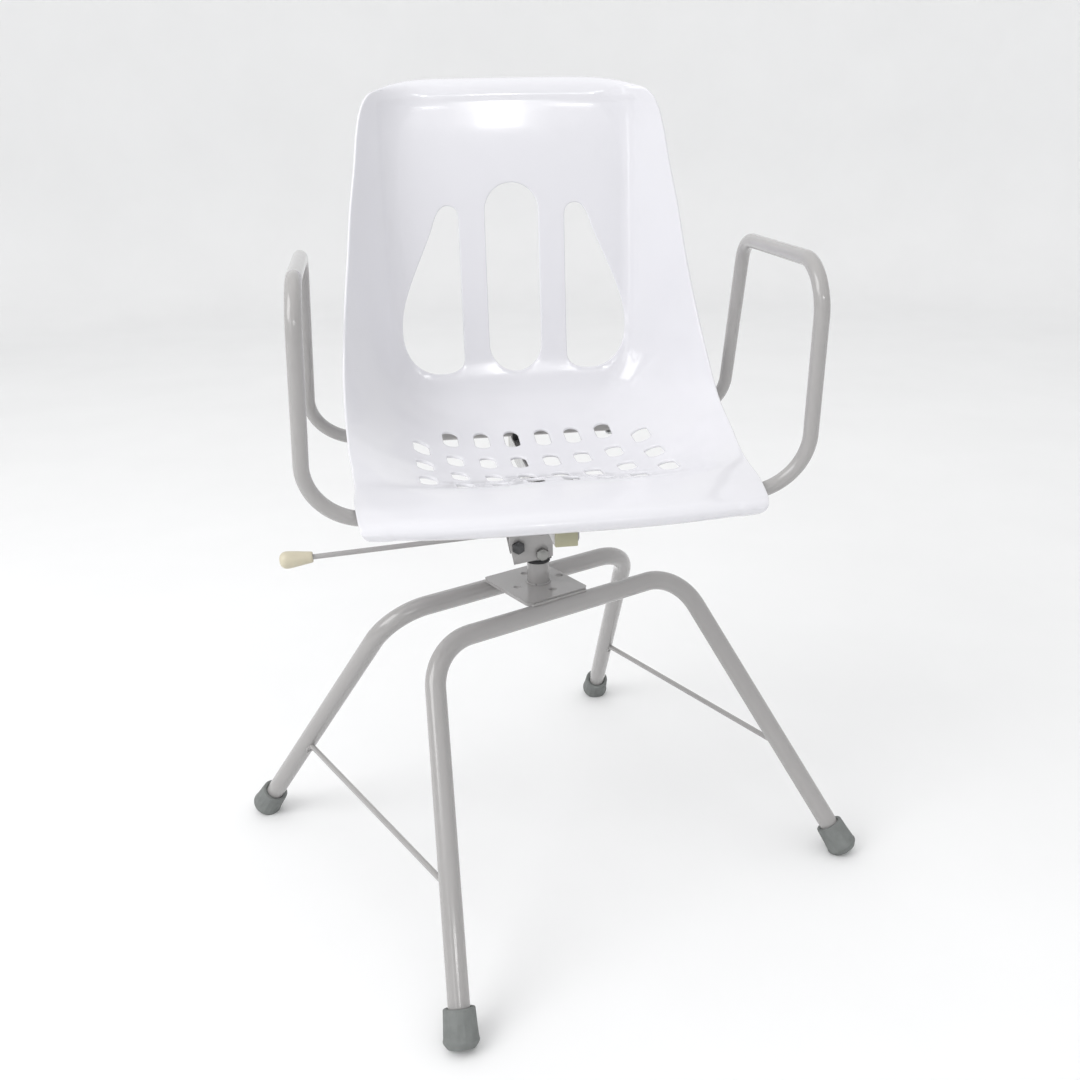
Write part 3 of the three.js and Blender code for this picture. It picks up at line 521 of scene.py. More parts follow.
def make_brace(node, sx):
    """The rod from leg to leg, with a weld bead round each end."""
    low, high = leg_point(sx, -1, BRACE_FRACTION), leg_point(sx, 1, BRACE_FRACTION)
    bm = bmesh.new()
    inset = Vector((0, LEG_OUTER - 3, 0))
    along = (high - low).normalized()
    add_tube(bm, [(low + inset, along), (high - inset, along)], BRACE_RADIUS, sides=32)
    for point, side in ((low, 1), (high, -1)):
        leg = (leg_foot(sx, -side) - leg_corner(sx, -side)).normalized()
        out = (along * side - leg * leg.dot(along * side)).normalized()
        across = leg.cross(out)
        ring = []
        for i in range(BRACE_WELD["points"]):
            angle = 2 * math.pi * i / BRACE_WELD["points"]
            reach = leg * math.cos(angle) * BRACE_WELD["along"]
            reach += across * math.sin(angle) * BRACE_WELD["across"]
            ring.append(point + out * (LEG_OUTER - 0.4) + reach)
        bead(bm, ring, BRACE_WELD["radius"], sx + side, closed=True)
    stand_for(node, bm, turn=True, sharp=50)


FERRULE = {"sole": 13.2, "flare": 18.2, "flare_height": 7.5, "body": 16, "length": 37.5, "lift": 4.2}
RIBS = {"count": 14, "depth": 0.028}


def make_ferrule(node, sx, sy):
    """The rubber foot, turned about the leg, ribbed, and cut off level at the floor."""
    up = (leg_corner(sx, sy) - leg_foot(sx, sy)).normalized()
    lift = FERRULE["lift"]
    top = lift + FERRULE["length"]
    flare_z = lift + FERRULE["flare_height"]
    bore = LEG_OUTER + GAP
    socket = LEG_END_Z / up.z - GAP
    sole, flare, body = (FERRULE[key] for key in ("sole", "flare", "body"))
    # From the sole out round the flare, up the side, and down into the socket for the tube.
    outline = [
        (8, lift), (sole, lift), (flare - 0.9, flare_z - 2.2), (flare, flare_z), (body + 0.9, flare_z + 5),
        (body + 0.2, flare_z + 16), (body, top), (bore, top), (bore, socket), (6, socket),
    ]
    profile = [(0, lift)] + rounded(outline, 1.6, 5) + [(0, socket)]

    def ribs(angle, height):
        share = min(1, max(0, (height - flare_z - 2) / 4)) * min(1, max(0, (top - 3 - height) / 3))
        return RIBS["depth"] * share * max(0, math.cos(RIBS["count"] * angle)) ** 0.5

    bm = bmesh.new()
    turned(bm, profile, frame_on(leg_foot(sx, sy), up), sides=112, ripple=ribs)
    whole = bm.verts[:] + bm.edges[:] + bm.faces[:]
    cut = bmesh.ops.bisect_plane(bm, geom=whole, plane_co=-DATUM, plane_no=(0, 0, 1), clear_inner=True)
    rim = [e for e in cut["geom_cut"] if isinstance(e, bmesh.types.BMEdge)]
    bmesh.ops.contextual_create(bm, geom=rim)
    stand_for(node, bm, turn=True)


PLATE_TOP = 331.7
PLATE = {"left": -45, "right": 36, "half": 47, "thick": 4, "corner": 5, "edge": 0.5}
PLATE_BORE, LOCK_CIRCLE, LOCK_HOLE = 11.1, 29, 4.2
TUBE_WELD = {"y": 48.2, "z": 328.2, "radius": 1.7, "inset": 3}
SPINDLE_WELD = {"circle": 13.3, "lift": 0.6, "radius": 1.1}


def circle(x, y, radius, count, start=0, sweep=2 * math.pi):
    """Points round a circle, or along an arc with both its ends."""
    closed = sweep > 6
    steps = count if closed else count - 1
    angles = [start + sweep * i / steps for i in range(count)]
    return [(x + radius * math.cos(angle), y + radius * math.sin(angle)) for angle in angles]


def make_plate():
    """The flat plate, cut from sheet, with its drilled edges broken."""
    corner, edge = PLATE["corner"], PLATE["edge"]
    left, right, half = PLATE["left"] + corner, PLATE["right"] - corner, PLATE["half"] - corner
    outline = []
    for i, (x, y) in enumerate(((right, half), (left, half), (left, -half), (right, -half))):
        outline += circle(x, y, corner, 9, i * math.pi / 2, math.pi / 2)
    loops = [outline, circle(0, 0, PLATE_BORE, 64)]
    for x, y in ((1, 0), (0, 1), (-1, 0), (0, -1)):
        loops.append(circle(x * LOCK_CIRCLE, y * LOCK_CIRCLE, LOCK_HOLE, 40))
    low, high = PLATE_TOP - PLATE["thick"], PLATE_TOP
    bm = bmesh.new()
    inset = [grown(loop, edge if i else -edge) for i, loop in enumerate(loops)]
    flat, faces = cut_flat([], inset)
    top = [bm.verts.new((p[0], p[1], high)) for p in flat]
    bottom = [bm.verts.new((p[0], p[1], low)) for p in flat]
    for face in faces:
        centre = np.array([[sum(flat[v][axis] for v in face) / len(face) for axis in (0, 1)]])
        within = [inside(loop, centre)[0] for loop in inset]
        if any(within[1:]) or not within[0]:
            continue
        bm.faces.new([top[v] for v in face])
        bm.faces.new([bottom[v] for v in reversed(face)])
    start = 0
    for loop in loops:
        count = len(loop)
        upper = [bm.verts.new((x, y, high - edge)) for x, y in loop]
        lower = [bm.verts.new((x, y, low + edge)) for x, y in loop]
        join_rows(bm, [top[start:start + count], upper, lower, bottom[start:start + count]])
        start += count
    stand_for("base_plate", bm, turn=True, sharp=40)


def make_plate_welds():
    """A bead under each long edge of the plate, along its tube, and one round the spindle's foot."""
    bm = bmesh.new()
    places = np.linspace(PLATE["left"] + TUBE_WELD["inset"], PLATE["right"] - TUBE_WELD["inset"], 48)
    for sy in (-1, 1):
        line = [Vector((x, sy * TUBE_WELD["y"], TUBE_WELD["z"])) for x in places]
        bead(bm, line, TUBE_WELD["radius"], sy)
    height = PLATE_TOP + SPINDLE_WELD["lift"]
    ring = [Vector((x, y, height)) for x, y in circle(0, 0, SPINDLE_WELD["circle"], 60)]
    bead(bm, ring, SPINDLE_WELD["radius"], 0.4, closed=True)
    finish_mesh(bm, 60)
    to_metres(bm, turn=True)
    place(bm, "plate_welds", "base", "powder_coated_steel")


def ring_profile(inner, outer, low, high, edge):
    """A closed profile of a plain ring with its outer corners rounded."""
    middle = (inner, (low + high) / 2)
    outline = [(inner, low), (outer, low), (outer, high), (inner, high)]
    return rounded([middle] + outline + [middle], edge, 3)[:-1]


def make_ring(node, inner, turn=False):
    """A plain ring about +Z, with its outside and its ends from the CAD box."""
    low, high = box_mm(node)
    bm = bmesh.new()
    turned(bm, ring_profile(inner, (high.x - low.x) / 2, low.z, high.z, 0.4), sides=64)
    stand_for(node, bm, turn=turn)


SPINDLE_BORE, WASHER_BORE = 10.9, 5.3
BUSH = {"bore": 9.5, "sleeve": 10.6, "flange": 13.9, "thick": 2.6}


def make_bush(node, flange_low):
    """A flanged bearing, with its flange at its low end or at its top."""
    low, high = box_mm(node)
    bottom, top = low.z, high.z
    bore, sleeve, flange, thick = (BUSH[key] for key in ("bore", "sleeve", "flange", "thick"))
    if flange_low:
        outside = [(flange, bottom), (flange, bottom + thick), (sleeve, bottom + thick), (sleeve, top)]
    else:
        outside = [(sleeve, bottom), (sleeve, top - thick), (flange, top - thick), (flange, top)]
    outline = [(bore, bottom)] + outside + [(bore, top)]
    middle = (bore, (bottom + top) / 2)
    bm = bmesh.new()
    turned(bm, rounded([middle] + outline + [middle], 0.5, 3)[:-1], sides=64)
    stand_for(node, bm, turn=True)


# ---- fasteners -----------------------------------------------------------------------------------
M8 = {"shank": 3.9, "flats": 13, "head": 5.5, "nut": 6.5, "hole": 4.3}
RETAINING_BOLT = {"shank": 4.6, "flats": 15, "head": 6.4}
STOP_SHANK = 2.9
THREAD_LENGTH, THREAD_PITCH, THREAD_DEPTH = 9, 1.2, 0.5
SCREW = {"shank": 2.9, "head": 5.5, "head_height": 3.6, "socket": 2.0, "socket_depth": 1.9}
# The x and z of each bolt's centre line.
BOLTS_ALONG_Y = {"cross_bolt": (2.2, 373), "stop_bolt": (-25, 383), "lever_pivot_bolt": (34, 392.4)}


def hexagon(bm, flats, low, high, axis, dome=0.6, hole=0):
    """A hexagon head or nut whose corners are turned off, as on a real bolt."""
    corner = flats / math.sqrt(3)
    rings = []

    def ring(height, limit):
        points = []
        for i in range(96):
            angle = 2 * math.pi * i / 96
            part = (angle + math.pi / 6) % (math.pi / 3) - math.pi / 6
            radius = min(flats / 2 / math.cos(part), limit)
            points.append(axis @ Vector((radius * math.cos(angle), radius * math.sin(angle), height)))
        return points

    # Each ring's height, and the radius that its corners are turned off to.
    for height, limit in (
        (low, flats / 2 * 0.96), (low + 0.15, flats / 2 * 1.01), (low + dome, corner),
        (high - dome, corner), (high - 0.15, flats / 2 * 1.01), (high, flats / 2 * 0.96),
    ):
        rings.append(ring(height, limit))
    if hole:
        rings += [ring(high - 0.4, hole), ring(low + 0.4, hole)]
        add_grid(bm, rings, closed_rows=True)
        return
    rows = add_grid(bm, rings)
    bm.faces.new(rows[0])
    bm.faces.new(rows[-1])


def make_bolt(node, flats, head, shank, axis, length):
    """The head from height 0 to head, the shank on to length, with thread rings on its last part."""
    bm = bmesh.new()
    hexagon(bm, flats, 0, head, axis)
    height = length - THREAD_LENGTH
    profile = [(0, head - 0.5), (shank, head - 0.5), (shank, height)]
    while height < length - THREAD_PITCH - 0.4:
        profile += [(shank - THREAD_DEPTH, height + THREAD_PITCH / 2), (shank, height + THREAD_PITCH)]
        height += THREAD_PITCH
    profile += [(shank - 0.9, length), (0, length)]
    turned(bm, profile, axis, sides=40)
    stand_for(node, bm)


def make_nut(node, flats, axis, thick, hole):
    bm = bmesh.new()
    hexagon(bm, flats, 0, thick, axis, hole=hole)
    stand_for(node, bm)


def make_bolts():
    for name, centre in BOLTS_ALONG_Y.items():
        low, high = box_mm(name)
        shank = STOP_SHANK if name == "stop_bolt" else M8["shank"]
        axis = frame_on((centre[0], low.y, centre[1]), (0, 1, 0))
        make_bolt(name, M8["flats"], M8["head"], shank, axis, high.y - low.y)
        nut = "lever_pivot_nut" if name == "lever_pivot_bolt" else name + "_nut"
        low = box_mm(nut)[0]
        axis = frame_on((centre[0], low.y, centre[1]), (0, 1, 0))
        make_nut(nut, M8["flats"], axis, M8["nut"], M8["hole"])
    for name in ("frame_bolt_front", "frame_bolt_rear"):
        low, high = box_mm(name)
        axis = Matrix.Translation((0, (low.y + high.y) / 2, low.z))
        make_bolt(name, M8["flats"], M8["head"], M8["shank"], axis, high.z - low.z)
    low, high = box_mm("retaining_bolt")
    flats, head, shank = (RETAINING_BOLT[key] for key in ("flats", "head", "shank"))
    make_bolt("retaining_bolt", flats, head, shank, Matrix.Translation((0, 0, low.z)), high.z - low.z)


def make_screw(node):
    """A button-headed screw from below, with a round socket in its head."""
    low, high = box_mm(node)
    x, y = (low.x + high.x) / 2, (low.y + high.y) / 2
    bottom, top = low.z, high.z
    shank, head, socket = (SCREW[key] for key in ("shank", "head", "socket"))
    neck, well = bottom + SCREW["head_height"], bottom + SCREW["socket_depth"]
    outline = [(socket, well), (socket, bottom), (3.6, bottom), (head - 0.2, bottom + 1.4), (head, neck)]
    profile = [(0, well)] + rounded(outline + [(shank, neck)], 0.5, 3)
    profile += [(shank, top - 1), (shank - 0.8, top), (0, top)]
    bm = bmesh.new()
    turned(bm, profile, Matrix.Translation((x, y, 0)), sides=36)
    stand_for(node, bm)


# ---- seat frame ----------------------------------------------------------------------------------
CROSS_Z = 481.9
CROSS = {"front": -172, "rear": 122}
CROSS_OUTER, CROSS_INNER, CROSS_HALF = 9.5, 7.9, 182
ARM_OUTER, ARM_INNER, ARM_INSERT = 7.5, 6.1, 40
ARM_TOP = {"front_x": 234.5, "rear_x": 236, "front": -214.6, "rear": 16.3, "z": 706.5}
ARM_BOTTOM = {"front_x": 246.3, "rear_x": 250}
ARM_LOW_BEND, ARM_TOP_BEND = 58, 42


def make_cross_tube(node, y):
    bm = bmesh.new()
    axis = Vector((1, 0, 0))
    ends = [(Vector((-CROSS_HALF, y, CROSS_Z)), axis), (Vector((CROSS_HALF, y, CROSS_Z)), axis)]
    add_tube(bm, ends, CROSS_OUTER, CROSS_INNER, sides=48)
    stand_for(node, bm)


def make_arm(node, side):
    end_x = side * (CROSS_HALF - ARM_INSERT)
    corners = [
        (end_x, CROSS["front"], CROSS_Z),
        (side * ARM_BOTTOM["front_x"], CROSS["front"], CROSS_Z),
        (side * ARM_TOP["front_x"], ARM_TOP["front"], ARM_TOP["z"]),
        (side * ARM_TOP["rear_x"], ARM_TOP["rear"], ARM_TOP["z"]),
        (side * ARM_BOTTOM["rear_x"], CROSS["rear"], CROSS_Z),
        (end_x, CROSS["rear"], CROSS_Z),
    ]
    bends = (ARM_LOW_BEND, ARM_TOP_BEND, ARM_TOP_BEND, ARM_LOW_BEND)
    bm = bmesh.new()
    add_tube(bm, bent_path(corners, bends), ARM_OUTER, ARM_INNER)
    stand_for(node, bm)


# ---- lever and lock ------------------------------------------------------------------------------
LEVER_Y, LEVER_SLOPE, LEVER_ROD = 13, 0.0543, 3
PIVOT_X, PIVOT_Z = 34, 392.4
EYE = {"bore": 4.0, "outer": 7, "half": 2.7}
KNOB_X, KNOB_LENGTH = -290, 37
COLLAR = {"radius": 6.6, "bottom": 393.6, "top": 396}
# Radius and height from the knob's tip, ending in the bore for the rod.
KNOB_PROFILE = [
    (0, 0), (3.2, 0.15), (5.6, 0.9), (7.6, 2.3), (9.0, 4.3), (9.7, 6.6), (9.85, 8.6), (9.7, 11.5),
    (9.2, 16), (8.5, 21), (7.75, 26), (7.0, 31), (6.5, 34.5), (6.2, 36.2), (5.6, 37), (3.4, 37),
    (3.4, 15), (0, 15),
]
PIN_RADIUS, POST_RADIUS = 3, 9.4
POST_THREAD = {"radius": 4.9, "depth": 28}


def lever_height(x):
    """The height of the rod's axis at x."""
    return PIVOT_Z + (x - PIVOT_X) * LEVER_SLOPE


def make_lever():
    start = Vector((PIVOT_X - 4, LEVER_Y, lever_height(PIVOT_X - 4)))
    end_x = KNOB_X + KNOB_LENGTH - 20
    end = Vector((end_x, LEVER_Y, lever_height(end_x)))
    bm = bmesh.new()
    along = (end - start).normalized()
    add_tube(bm, [(start, along), (end, along)], LEVER_ROD, sides=32)
    eye = frame_on((PIVOT_X, LEVER_Y, PIVOT_Z), (0, 1, 0))
    turned(bm, ring_profile(EYE["bore"], EYE["outer"], -EYE["half"], EYE["half"], 0.6), eye, sides=48)
    stand_for("lever_rod", bm)
    bm = bmesh.new()
    axis = frame_on((KNOB_X, LEVER_Y, lever_height(KNOB_X)), (1, 0, LEVER_SLOPE))
    turned(bm, KNOB_PROFILE, axis, sides=56)
    stand_for("lever_knob", bm, sharp=50)


SPRING_WIRE, SPRING_TURNS = 0.7, 6


def make_spring():
    """A helix of even turns that fills the spring's CAD box."""
    low, high = box_mm("pin_spring")
    centre = (low + high) / 2
    wire = SPRING_WIRE
    radius = (high.x - low.x) / 2 - wire
    bottom, top = low.z + wire, high.z - wire
    steps = 360
    stations = []
    points = []
    for i in range(steps + 1):
        t = i / steps
        angle = 2 * math.pi * SPRING_TURNS * t
        x, y = centre.x + radius * math.cos(angle), centre.y + radius * math.sin(angle)
        points.append(Vector((x, y, bottom + (top - bottom) * t)))
    for i, point in enumerate(points):
        tangent = points[min(i + 1, steps)] - points[max(i - 1, 0)]
        stations.append((point, tangent.normalized()))
    bm = bmesh.new()
    add_tube(bm, stations, wire, sides=10)
    spring = stand_for("pin_spring", bm)
    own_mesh(spring)


def make_pins():
    """The lock pin, the lift pin under its collar, and the swivel post."""
    low, high = box_mm("lock_pin")
    x, y = (low.x + high.x) / 2, (low.y + high.y) / 2
    collar, bottom, top = (COLLAR[key] for key in ("radius", "bottom", "top"))
    outline = [
        (PIN_RADIUS - 1, low.z), (PIN_RADIUS, low.z + 1.5), (PIN_RADIUS, bottom), (collar, bottom),
        (collar, top), (PIN_RADIUS, top), (PIN_RADIUS, high.z), (0, high.z),
    ]
    bm = bmesh.new()
    turned(bm, [(0, low.z)] + rounded(outline, 0.5, 3), Matrix.Translation((x, y, 0)), sides=48)
    stand_for("lock_pin", bm)
    low, high = box_mm("lift_pin")
    radius, length = (high.z - low.z) / 2, high.y - low.y
    bm = bmesh.new()
    outline = [(0, 0), (radius, 0), (radius, length), (0, length)]
    axis = frame_on(((low.x + high.x) / 2, low.y, (low.z + high.z) / 2), (0, 1, 0))
    turned(bm, rounded(outline, 0.5, 3), axis, sides=40)
    stand_for("lift_pin", bm)
    low, high = box_mm("swivel_post")
    bore, end = POST_THREAD["radius"], low.z + POST_THREAD["depth"]
    bm = bmesh.new()
    outline = [(0, end), (bore, end), (bore, low.z), (POST_RADIUS, low.z)]
    outline += [(POST_RADIUS, high.z), (0, high.z)]
    turned(bm, rounded(outline, 0.7, 3), sides=64)
    stand_for("swivel_post", bm)


# ---- moulded shell -------------------------------------------------------------------------------
# middle y, z; edge x, y, z; share that stays flat; power of the side's curve
STATIONS = np.array([
    [-213, 467.2, 181, -203, 470, 0, 3],
    [-221.5, 472.3, 189, -210.5, 473.5, 0, 3],
    [-226.3, 479.8, 193, -214.5, 480.5, 0, 3],
    [-222, 487.2, 195, -209, 487.3, 0, 3],
    [-200, 493.3, 197, -190, 493.5, 0, 3],
    [-172, 496.6, 198.5, -165, 498.5, 0, 3],
    [-150, 497.2, 197.5, -142, 503, 0, 3],
    [-133, 493, 198.5, -120, 506.5, 0, 3],
    [-115, 487.5, 199.5, -98, 512, 0, 2.6],
    [-95, 481.5, 201.5, -75, 519, 0, 2.4],
    [-60, 476.5, 202.5, -45, 529, 0, 2.4],
    [-10, 475.6, 203.5, -14, 541, 0, 2.8],
    [35, 479.5, 203.5, 12, 560, 0, 3.4],
    [75, 487.5, 202.5, 34, 583, 0.1, 3.4],
    [107, 502, 200.5, 52, 607, 0.3, 3],
    [129, 525, 198, 67, 632, 0.5, 2.4],
    [140, 555, 194.5, 80, 660, 0.6, 2],
    [145, 600, 189, 92, 700, 0.66, 1.8],
    [148, 660, 183, 104, 746, 0.7, 1.7],
    [150.5, 725, 175.5, 114, 788, 0.74, 1.6],
    [153, 785, 170.5, 121, 821, 0.76, 1.6],
    [156, 830, 165, 127, 843, 0.72, 2],
    [159, 856, 158.5, 132, 855, 0.5, 3],
    [164, 870.5, 150.5, 139, 862, 0.35, 3.6],
    [174, 876, 145.5, 145.5, 865, 0.3, 3.8],
    [184, 873.5, 142.5, 149.5, 864.5, 0.3, 3.8],
])
TOP_SPAN = len(STATIONS) - 1
POMMEL = {"height": 6.5, "y": -104, "length": 34, "half": 75}
SHELL_WALL = 3.5
EDGE_ROUND = 1.5
EDGE_TURNS = [math.pi * i / 12 for i in range(12)]
EDGE_PROFILE = [(EDGE_ROUND * math.sin(turn), SHELL_WALL / 2 * (1 - math.cos(turn))) for turn in EDGE_TURNS]


def through_points(points, t):
    """Centripetal Catmull-Rom through the points, at each t from 0 to 1."""
    last = len(points) - 1
    padded = np.vstack([2 * points[0] - points[1], points, 2 * points[-1] - points[-2]])
    place_on = np.clip(t, 0, 1) * last
    index = np.minimum(place_on.astype(int), last - 1)
    w = (place_on - index)[:, None]
    p0, p1, p2, p3 = (padded[index + k] for k in range(4))

    def gap(a, b):
        return (((a - b) ** 2).sum(1) ** 0.25)[:, None]

    d0, d1, d2 = gap(p0, p1), gap(p1, p2), gap(p2, p3)
    s1 = ((p1 - p0) / d0 - (p2 - p0) / (d0 + d1) + (p2 - p1) / d1) * d1
    s2 = ((p2 - p1) / d1 - (p3 - p1) / (d1 + d2) + (p3 - p2) / d2) * d1
    return p1 + s1 * w + (3 * p2 - 3 * p1 - 2 * s1 - s2) * w**2 + (2 * p1 - 2 * p2 + s1 + s2) * w**3


def smooth_row(values, t):
    """A row value between stations, without a kink at each."""
    last = len(values) - 1
    fine = np.linspace(0, 1, last * 20 + 1)
    row = np.interp(fine * last, np.arange(last + 1), values)
    window = np.hanning(31)
    row = np.convolve(np.pad(row, 15, mode="edge"), window / window.sum(), mode="valid")
    return np.interp(t, fine, row)


def shell_surface(across, t):
    """Points of the sitter's side of the shell, in millimetres."""
    zero = np.zeros(len(STATIONS))
    middle = through_points(np.column_stack([zero, STATIONS[:, 0], STATIONS[:, 1]]), t)
    edge = through_points(STATIONS[:, 2:5], t)
    flat, power = smooth_row(STATIONS[:, 5], t), smooth_row(STATIONS[:, 6], t)
    lift = np.maximum(0, (np.abs(across) - flat) / (1 - flat)) ** power
    point = middle + (edge - middle) * lift[:, None]
    point[:, 0] = across * edge[:, 0]
    side = np.maximum(0, 1 - (point[:, 0] / POMMEL["half"]) ** 2)
    swell = np.exp(-(((point[:, 1] - POMMEL["y"]) / POMMEL["length"]) ** 2))
    point[:, 2] += POMMEL["height"] * side**2 * swell
    return point


def smoothstep(x):
    x = np.clip(x, 0, 1)
    return x * x * (3 - 2 * x)


BACK_PANEL = {"half": 147, "top": 859, "fades_at": 540, "depth": 1.5}
LIP_PANEL = {"half": 168, "end": 3.4 / TOP_SPAN, "depth": 0.9}


def panel_recess(point, t):
    """How far the panels of the back and of the front lip lie behind the surface round them."""
    x, z = np.abs(point[:, 0]), point[:, 2]
    side = BACK_PANEL["half"] - x - np.maximum(0, 640 - z) * 0.05
    top = BACK_PANEL["top"] - 5 * (x / 148) ** 2 - z
    back = smoothstep(side / 5) * smoothstep(top / 7) * smoothstep((z - BACK_PANEL["fades_at"]) / 70)
    lip = smoothstep((LIP_PANEL["half"] - x) / 2.5) * smoothstep((LIP_PANEL["end"] - t) / 0.03)
    return BACK_PANEL["depth"] * back + LIP_PANEL["depth"] * lip


def shell_normals(across, t):
    step = 0.002
    right, left = np.minimum(1, across + step), np.maximum(-1, across - step)
    above, below = np.minimum(1, t + step), np.maximum(0, t - step)
    sideways = shell_surface(right, t) - shell_surface(left, t)
    upward = shell_surface(across, above) - shell_surface(across, below)
    normal = np.cross(sideways, upward)
    return normal / np.linalg.norm(normal, axis=1)[:, None]


def find_t(across_of, value_of, target, low, high):
    """The t between low and high where the shell's y or z reaches the target, for each point."""
    low, high = np.full(len(target), low), np.full(len(target), high)
    for _ in range(30):
        middle = (low + high) / 2
        under = value_of(shell_surface(across_of(middle), middle)) < target
        low, high = np.where(under, middle, low), np.where(under, high, middle)
    return (low + high) / 2


def outline_on_shell(outline, vertical):
    """Turns a closed outline in x and y, or x and z, into across and t."""
    outline = np.array(outline, float)
    column = 2 if vertical else 1
    low, high = (13 / TOP_SPAN, 23 / TOP_SPAN) if vertical else (4 / TOP_SPAN, 15.5 / TOP_SPAN)

    def across_of(t):
        return outline[:, 0] / through_points(STATIONS[:, 2:5], t)[:, 0]

    t = find_t(across_of, lambda p: p[:, column], outline[:, 1], low, high)
    return np.column_stack([across_of(t), t])


def stadium(x, y, width, length, steps):
    """A slot with round ends, running along its second axis."""
    radius, reach = width / 2, (length - width) / 2
    points = []
    for end in (1, -1):
        for i in range(steps + 1):
            angle = math.pi * i / steps + (0 if end > 0 else math.pi)
            points.append((x + radius * math.cos(angle), y + end * reach + radius * math.sin(angle)))
        for i in range(1, 4):
            points.append((x - end * radius, y + end * reach * (1 - i / 2)))
    return points


def even(points, spacing):
    """A closed outline resampled at even steps."""
    points = np.array(points + [points[0]], float)
    lengths = np.r_[0, np.cumsum(np.linalg.norm(np.diff(points, axis=0), axis=1))]
    places = np.linspace(0, lengths[-1], max(12, round(lengths[-1] / spacing)), endpoint=False)
    return np.column_stack([np.interp(places, lengths, points[:, i]) for i in (0, 1)])


def bezier(points, steps=14):
    """Points along a Bezier curve or a straight line, without its end."""
    result = []
    n = len(points) - 1
    for i in range(steps):
        t = i / steps
        result.append(tuple(sum(
            math.comb(n, k) * (1 - t) ** (n - k) * t**k * points[k][axis] for k in range(n + 1)
        ) for axis in (0, 1)))
    return result


DRAIN = {"width": 17, "length": 36}
DRAIN_COLUMNS, DRAIN_ROWS = (18, 53, 89), (64, 0, -63, -122)
OUTER_DRAIN_COLUMN, OUTER_DRAIN_ROWS = 124, (20, -42, -102)
CENTRE_SLOT = {"half": 31, "low": 549, "high": 764}
SIDE_SLOT = {"inner": 62, "outer": 132, "low": 549, "high": 740}


def side_slot(side):
    """The outline of one side opening of the back, in x and z."""
    inner, outer, low, high = (SIDE_SLOT[key] for key in ("inner", "outer", "low", "high"))
    pieces = [
        [(inner, low + 17), (inner, high - 14)],
        [(inner, high - 14), (inner, high), (inner + 13, high)],
        [(inner + 13, high), (inner + 24, high), (inner + 31, high - 25)],
        [(inner + 31, high - 25), (outer - 18, high - 75), (outer, high - 100), (outer, low + 50)],
        [(outer, low + 50), (outer, low + 14), (outer - 20, low), (inner + 28, low)],
        [(inner + 28, low), (inner, low), (inner, low + 17)],
    ]
    points = [p for piece in pieces for p in bezier(piece)]
    return [(side * x, z) for x, z in points]


def shell_holes():
    """The drain slots and the openings of the back, grown by the round of their edges."""
    holes = []

    def add_drain(x, y):
        outline = even(stadium(x, y, DRAIN["width"], DRAIN["length"], 12), 1.8)
        holes.append(outline_on_shell(grown(outline, EDGE_ROUND), False))

    def add_opening(outline):
        holes.append(outline_on_shell(grown(even(outline, 2.6), EDGE_ROUND), True))

    for side in (-1, 1):
        for y in DRAIN_ROWS:
            for x in DRAIN_COLUMNS:
                add_drain(side * x, y)
        for y in OUTER_DRAIN_ROWS:
            add_drain(side * OUTER_DRAIN_COLUMN, y)
        add_opening(side_slot(side))
    half, low, high = (CENTRE_SLOT[key] for key in ("half", "low", "high"))
    add_opening(stadium(0, (low + high) / 2, 2 * half, high - low, 24))
    return holes


MESH_STEP = 3.6
HALF_WIDTH = 200
END_MARGIN = 0.0022
RULER = np.linspace(0, 1, 801)


def shell_plan():
    """The shell laid flat and cut into triangles round its holes: across, t and the triangles."""
    middle = through_points(STATIONS[:, :2], RULER)
    lengths = np.r_[0, np.cumsum(np.linalg.norm(np.diff(middle, axis=0), axis=1))]
    loops = []
    for hole in shell_holes():
        loops.append(np.column_stack([hole[:, 0] * HALF_WIDTH, np.interp(hole[:, 1], RULER, lengths)]))
    low_v, high_v = np.interp([END_MARGIN, 1 - END_MARGIN], RULER, lengths)
    wide = HALF_WIDTH * (1 - EDGE_ROUND / HALF_WIDTH)
    columns = np.linspace(-wide, wide, round(2 * wide / MESH_STEP) + 1)
    rows = np.linspace(low_v, high_v, round((high_v - low_v) / MESH_STEP) + 1)
    border = [(u, low_v) for u in columns[:-1]] + [(wide, v) for v in rows[:-1]]
    border += [(u, high_v) for u in columns[:0:-1]] + [(-wide, v) for v in rows[:0:-1]]
    grid = np.array([(u, v) for v in rows[1:-1] for u in columns[1:-1]])
    keep = np.ones(len(grid), bool)
    for loop in loops:
        centre, reach = loop.mean(0), np.ptp(loop, axis=0).max()
        near = np.where(np.abs(grid - centre).max(1) < reach)[0]
        gaps = np.linalg.norm(grid[near][:, None] - loop[None], axis=2).min(1)
        keep[near[(gaps < MESH_STEP * 0.55) | inside(loop, grid[near])]] = False
    flat, faces = cut_flat(grid[keep], [np.array(border)] + loops)
    flat = np.array([tuple(p) for p in flat])
    faces = np.array([f[:] for f in faces])
    centres = flat[faces].mean(1)
    open_part = np.zeros(len(faces), bool)
    for loop in loops:
        near = np.where(np.abs(centres - loop.mean(0)).max(1) < np.ptp(loop, axis=0).max())[0]
        open_part[near[inside(loop, centres[near])]] = True
    return flat[:, 0] / HALF_WIDTH, np.interp(flat[:, 1], lengths, RULER), faces[~open_part]


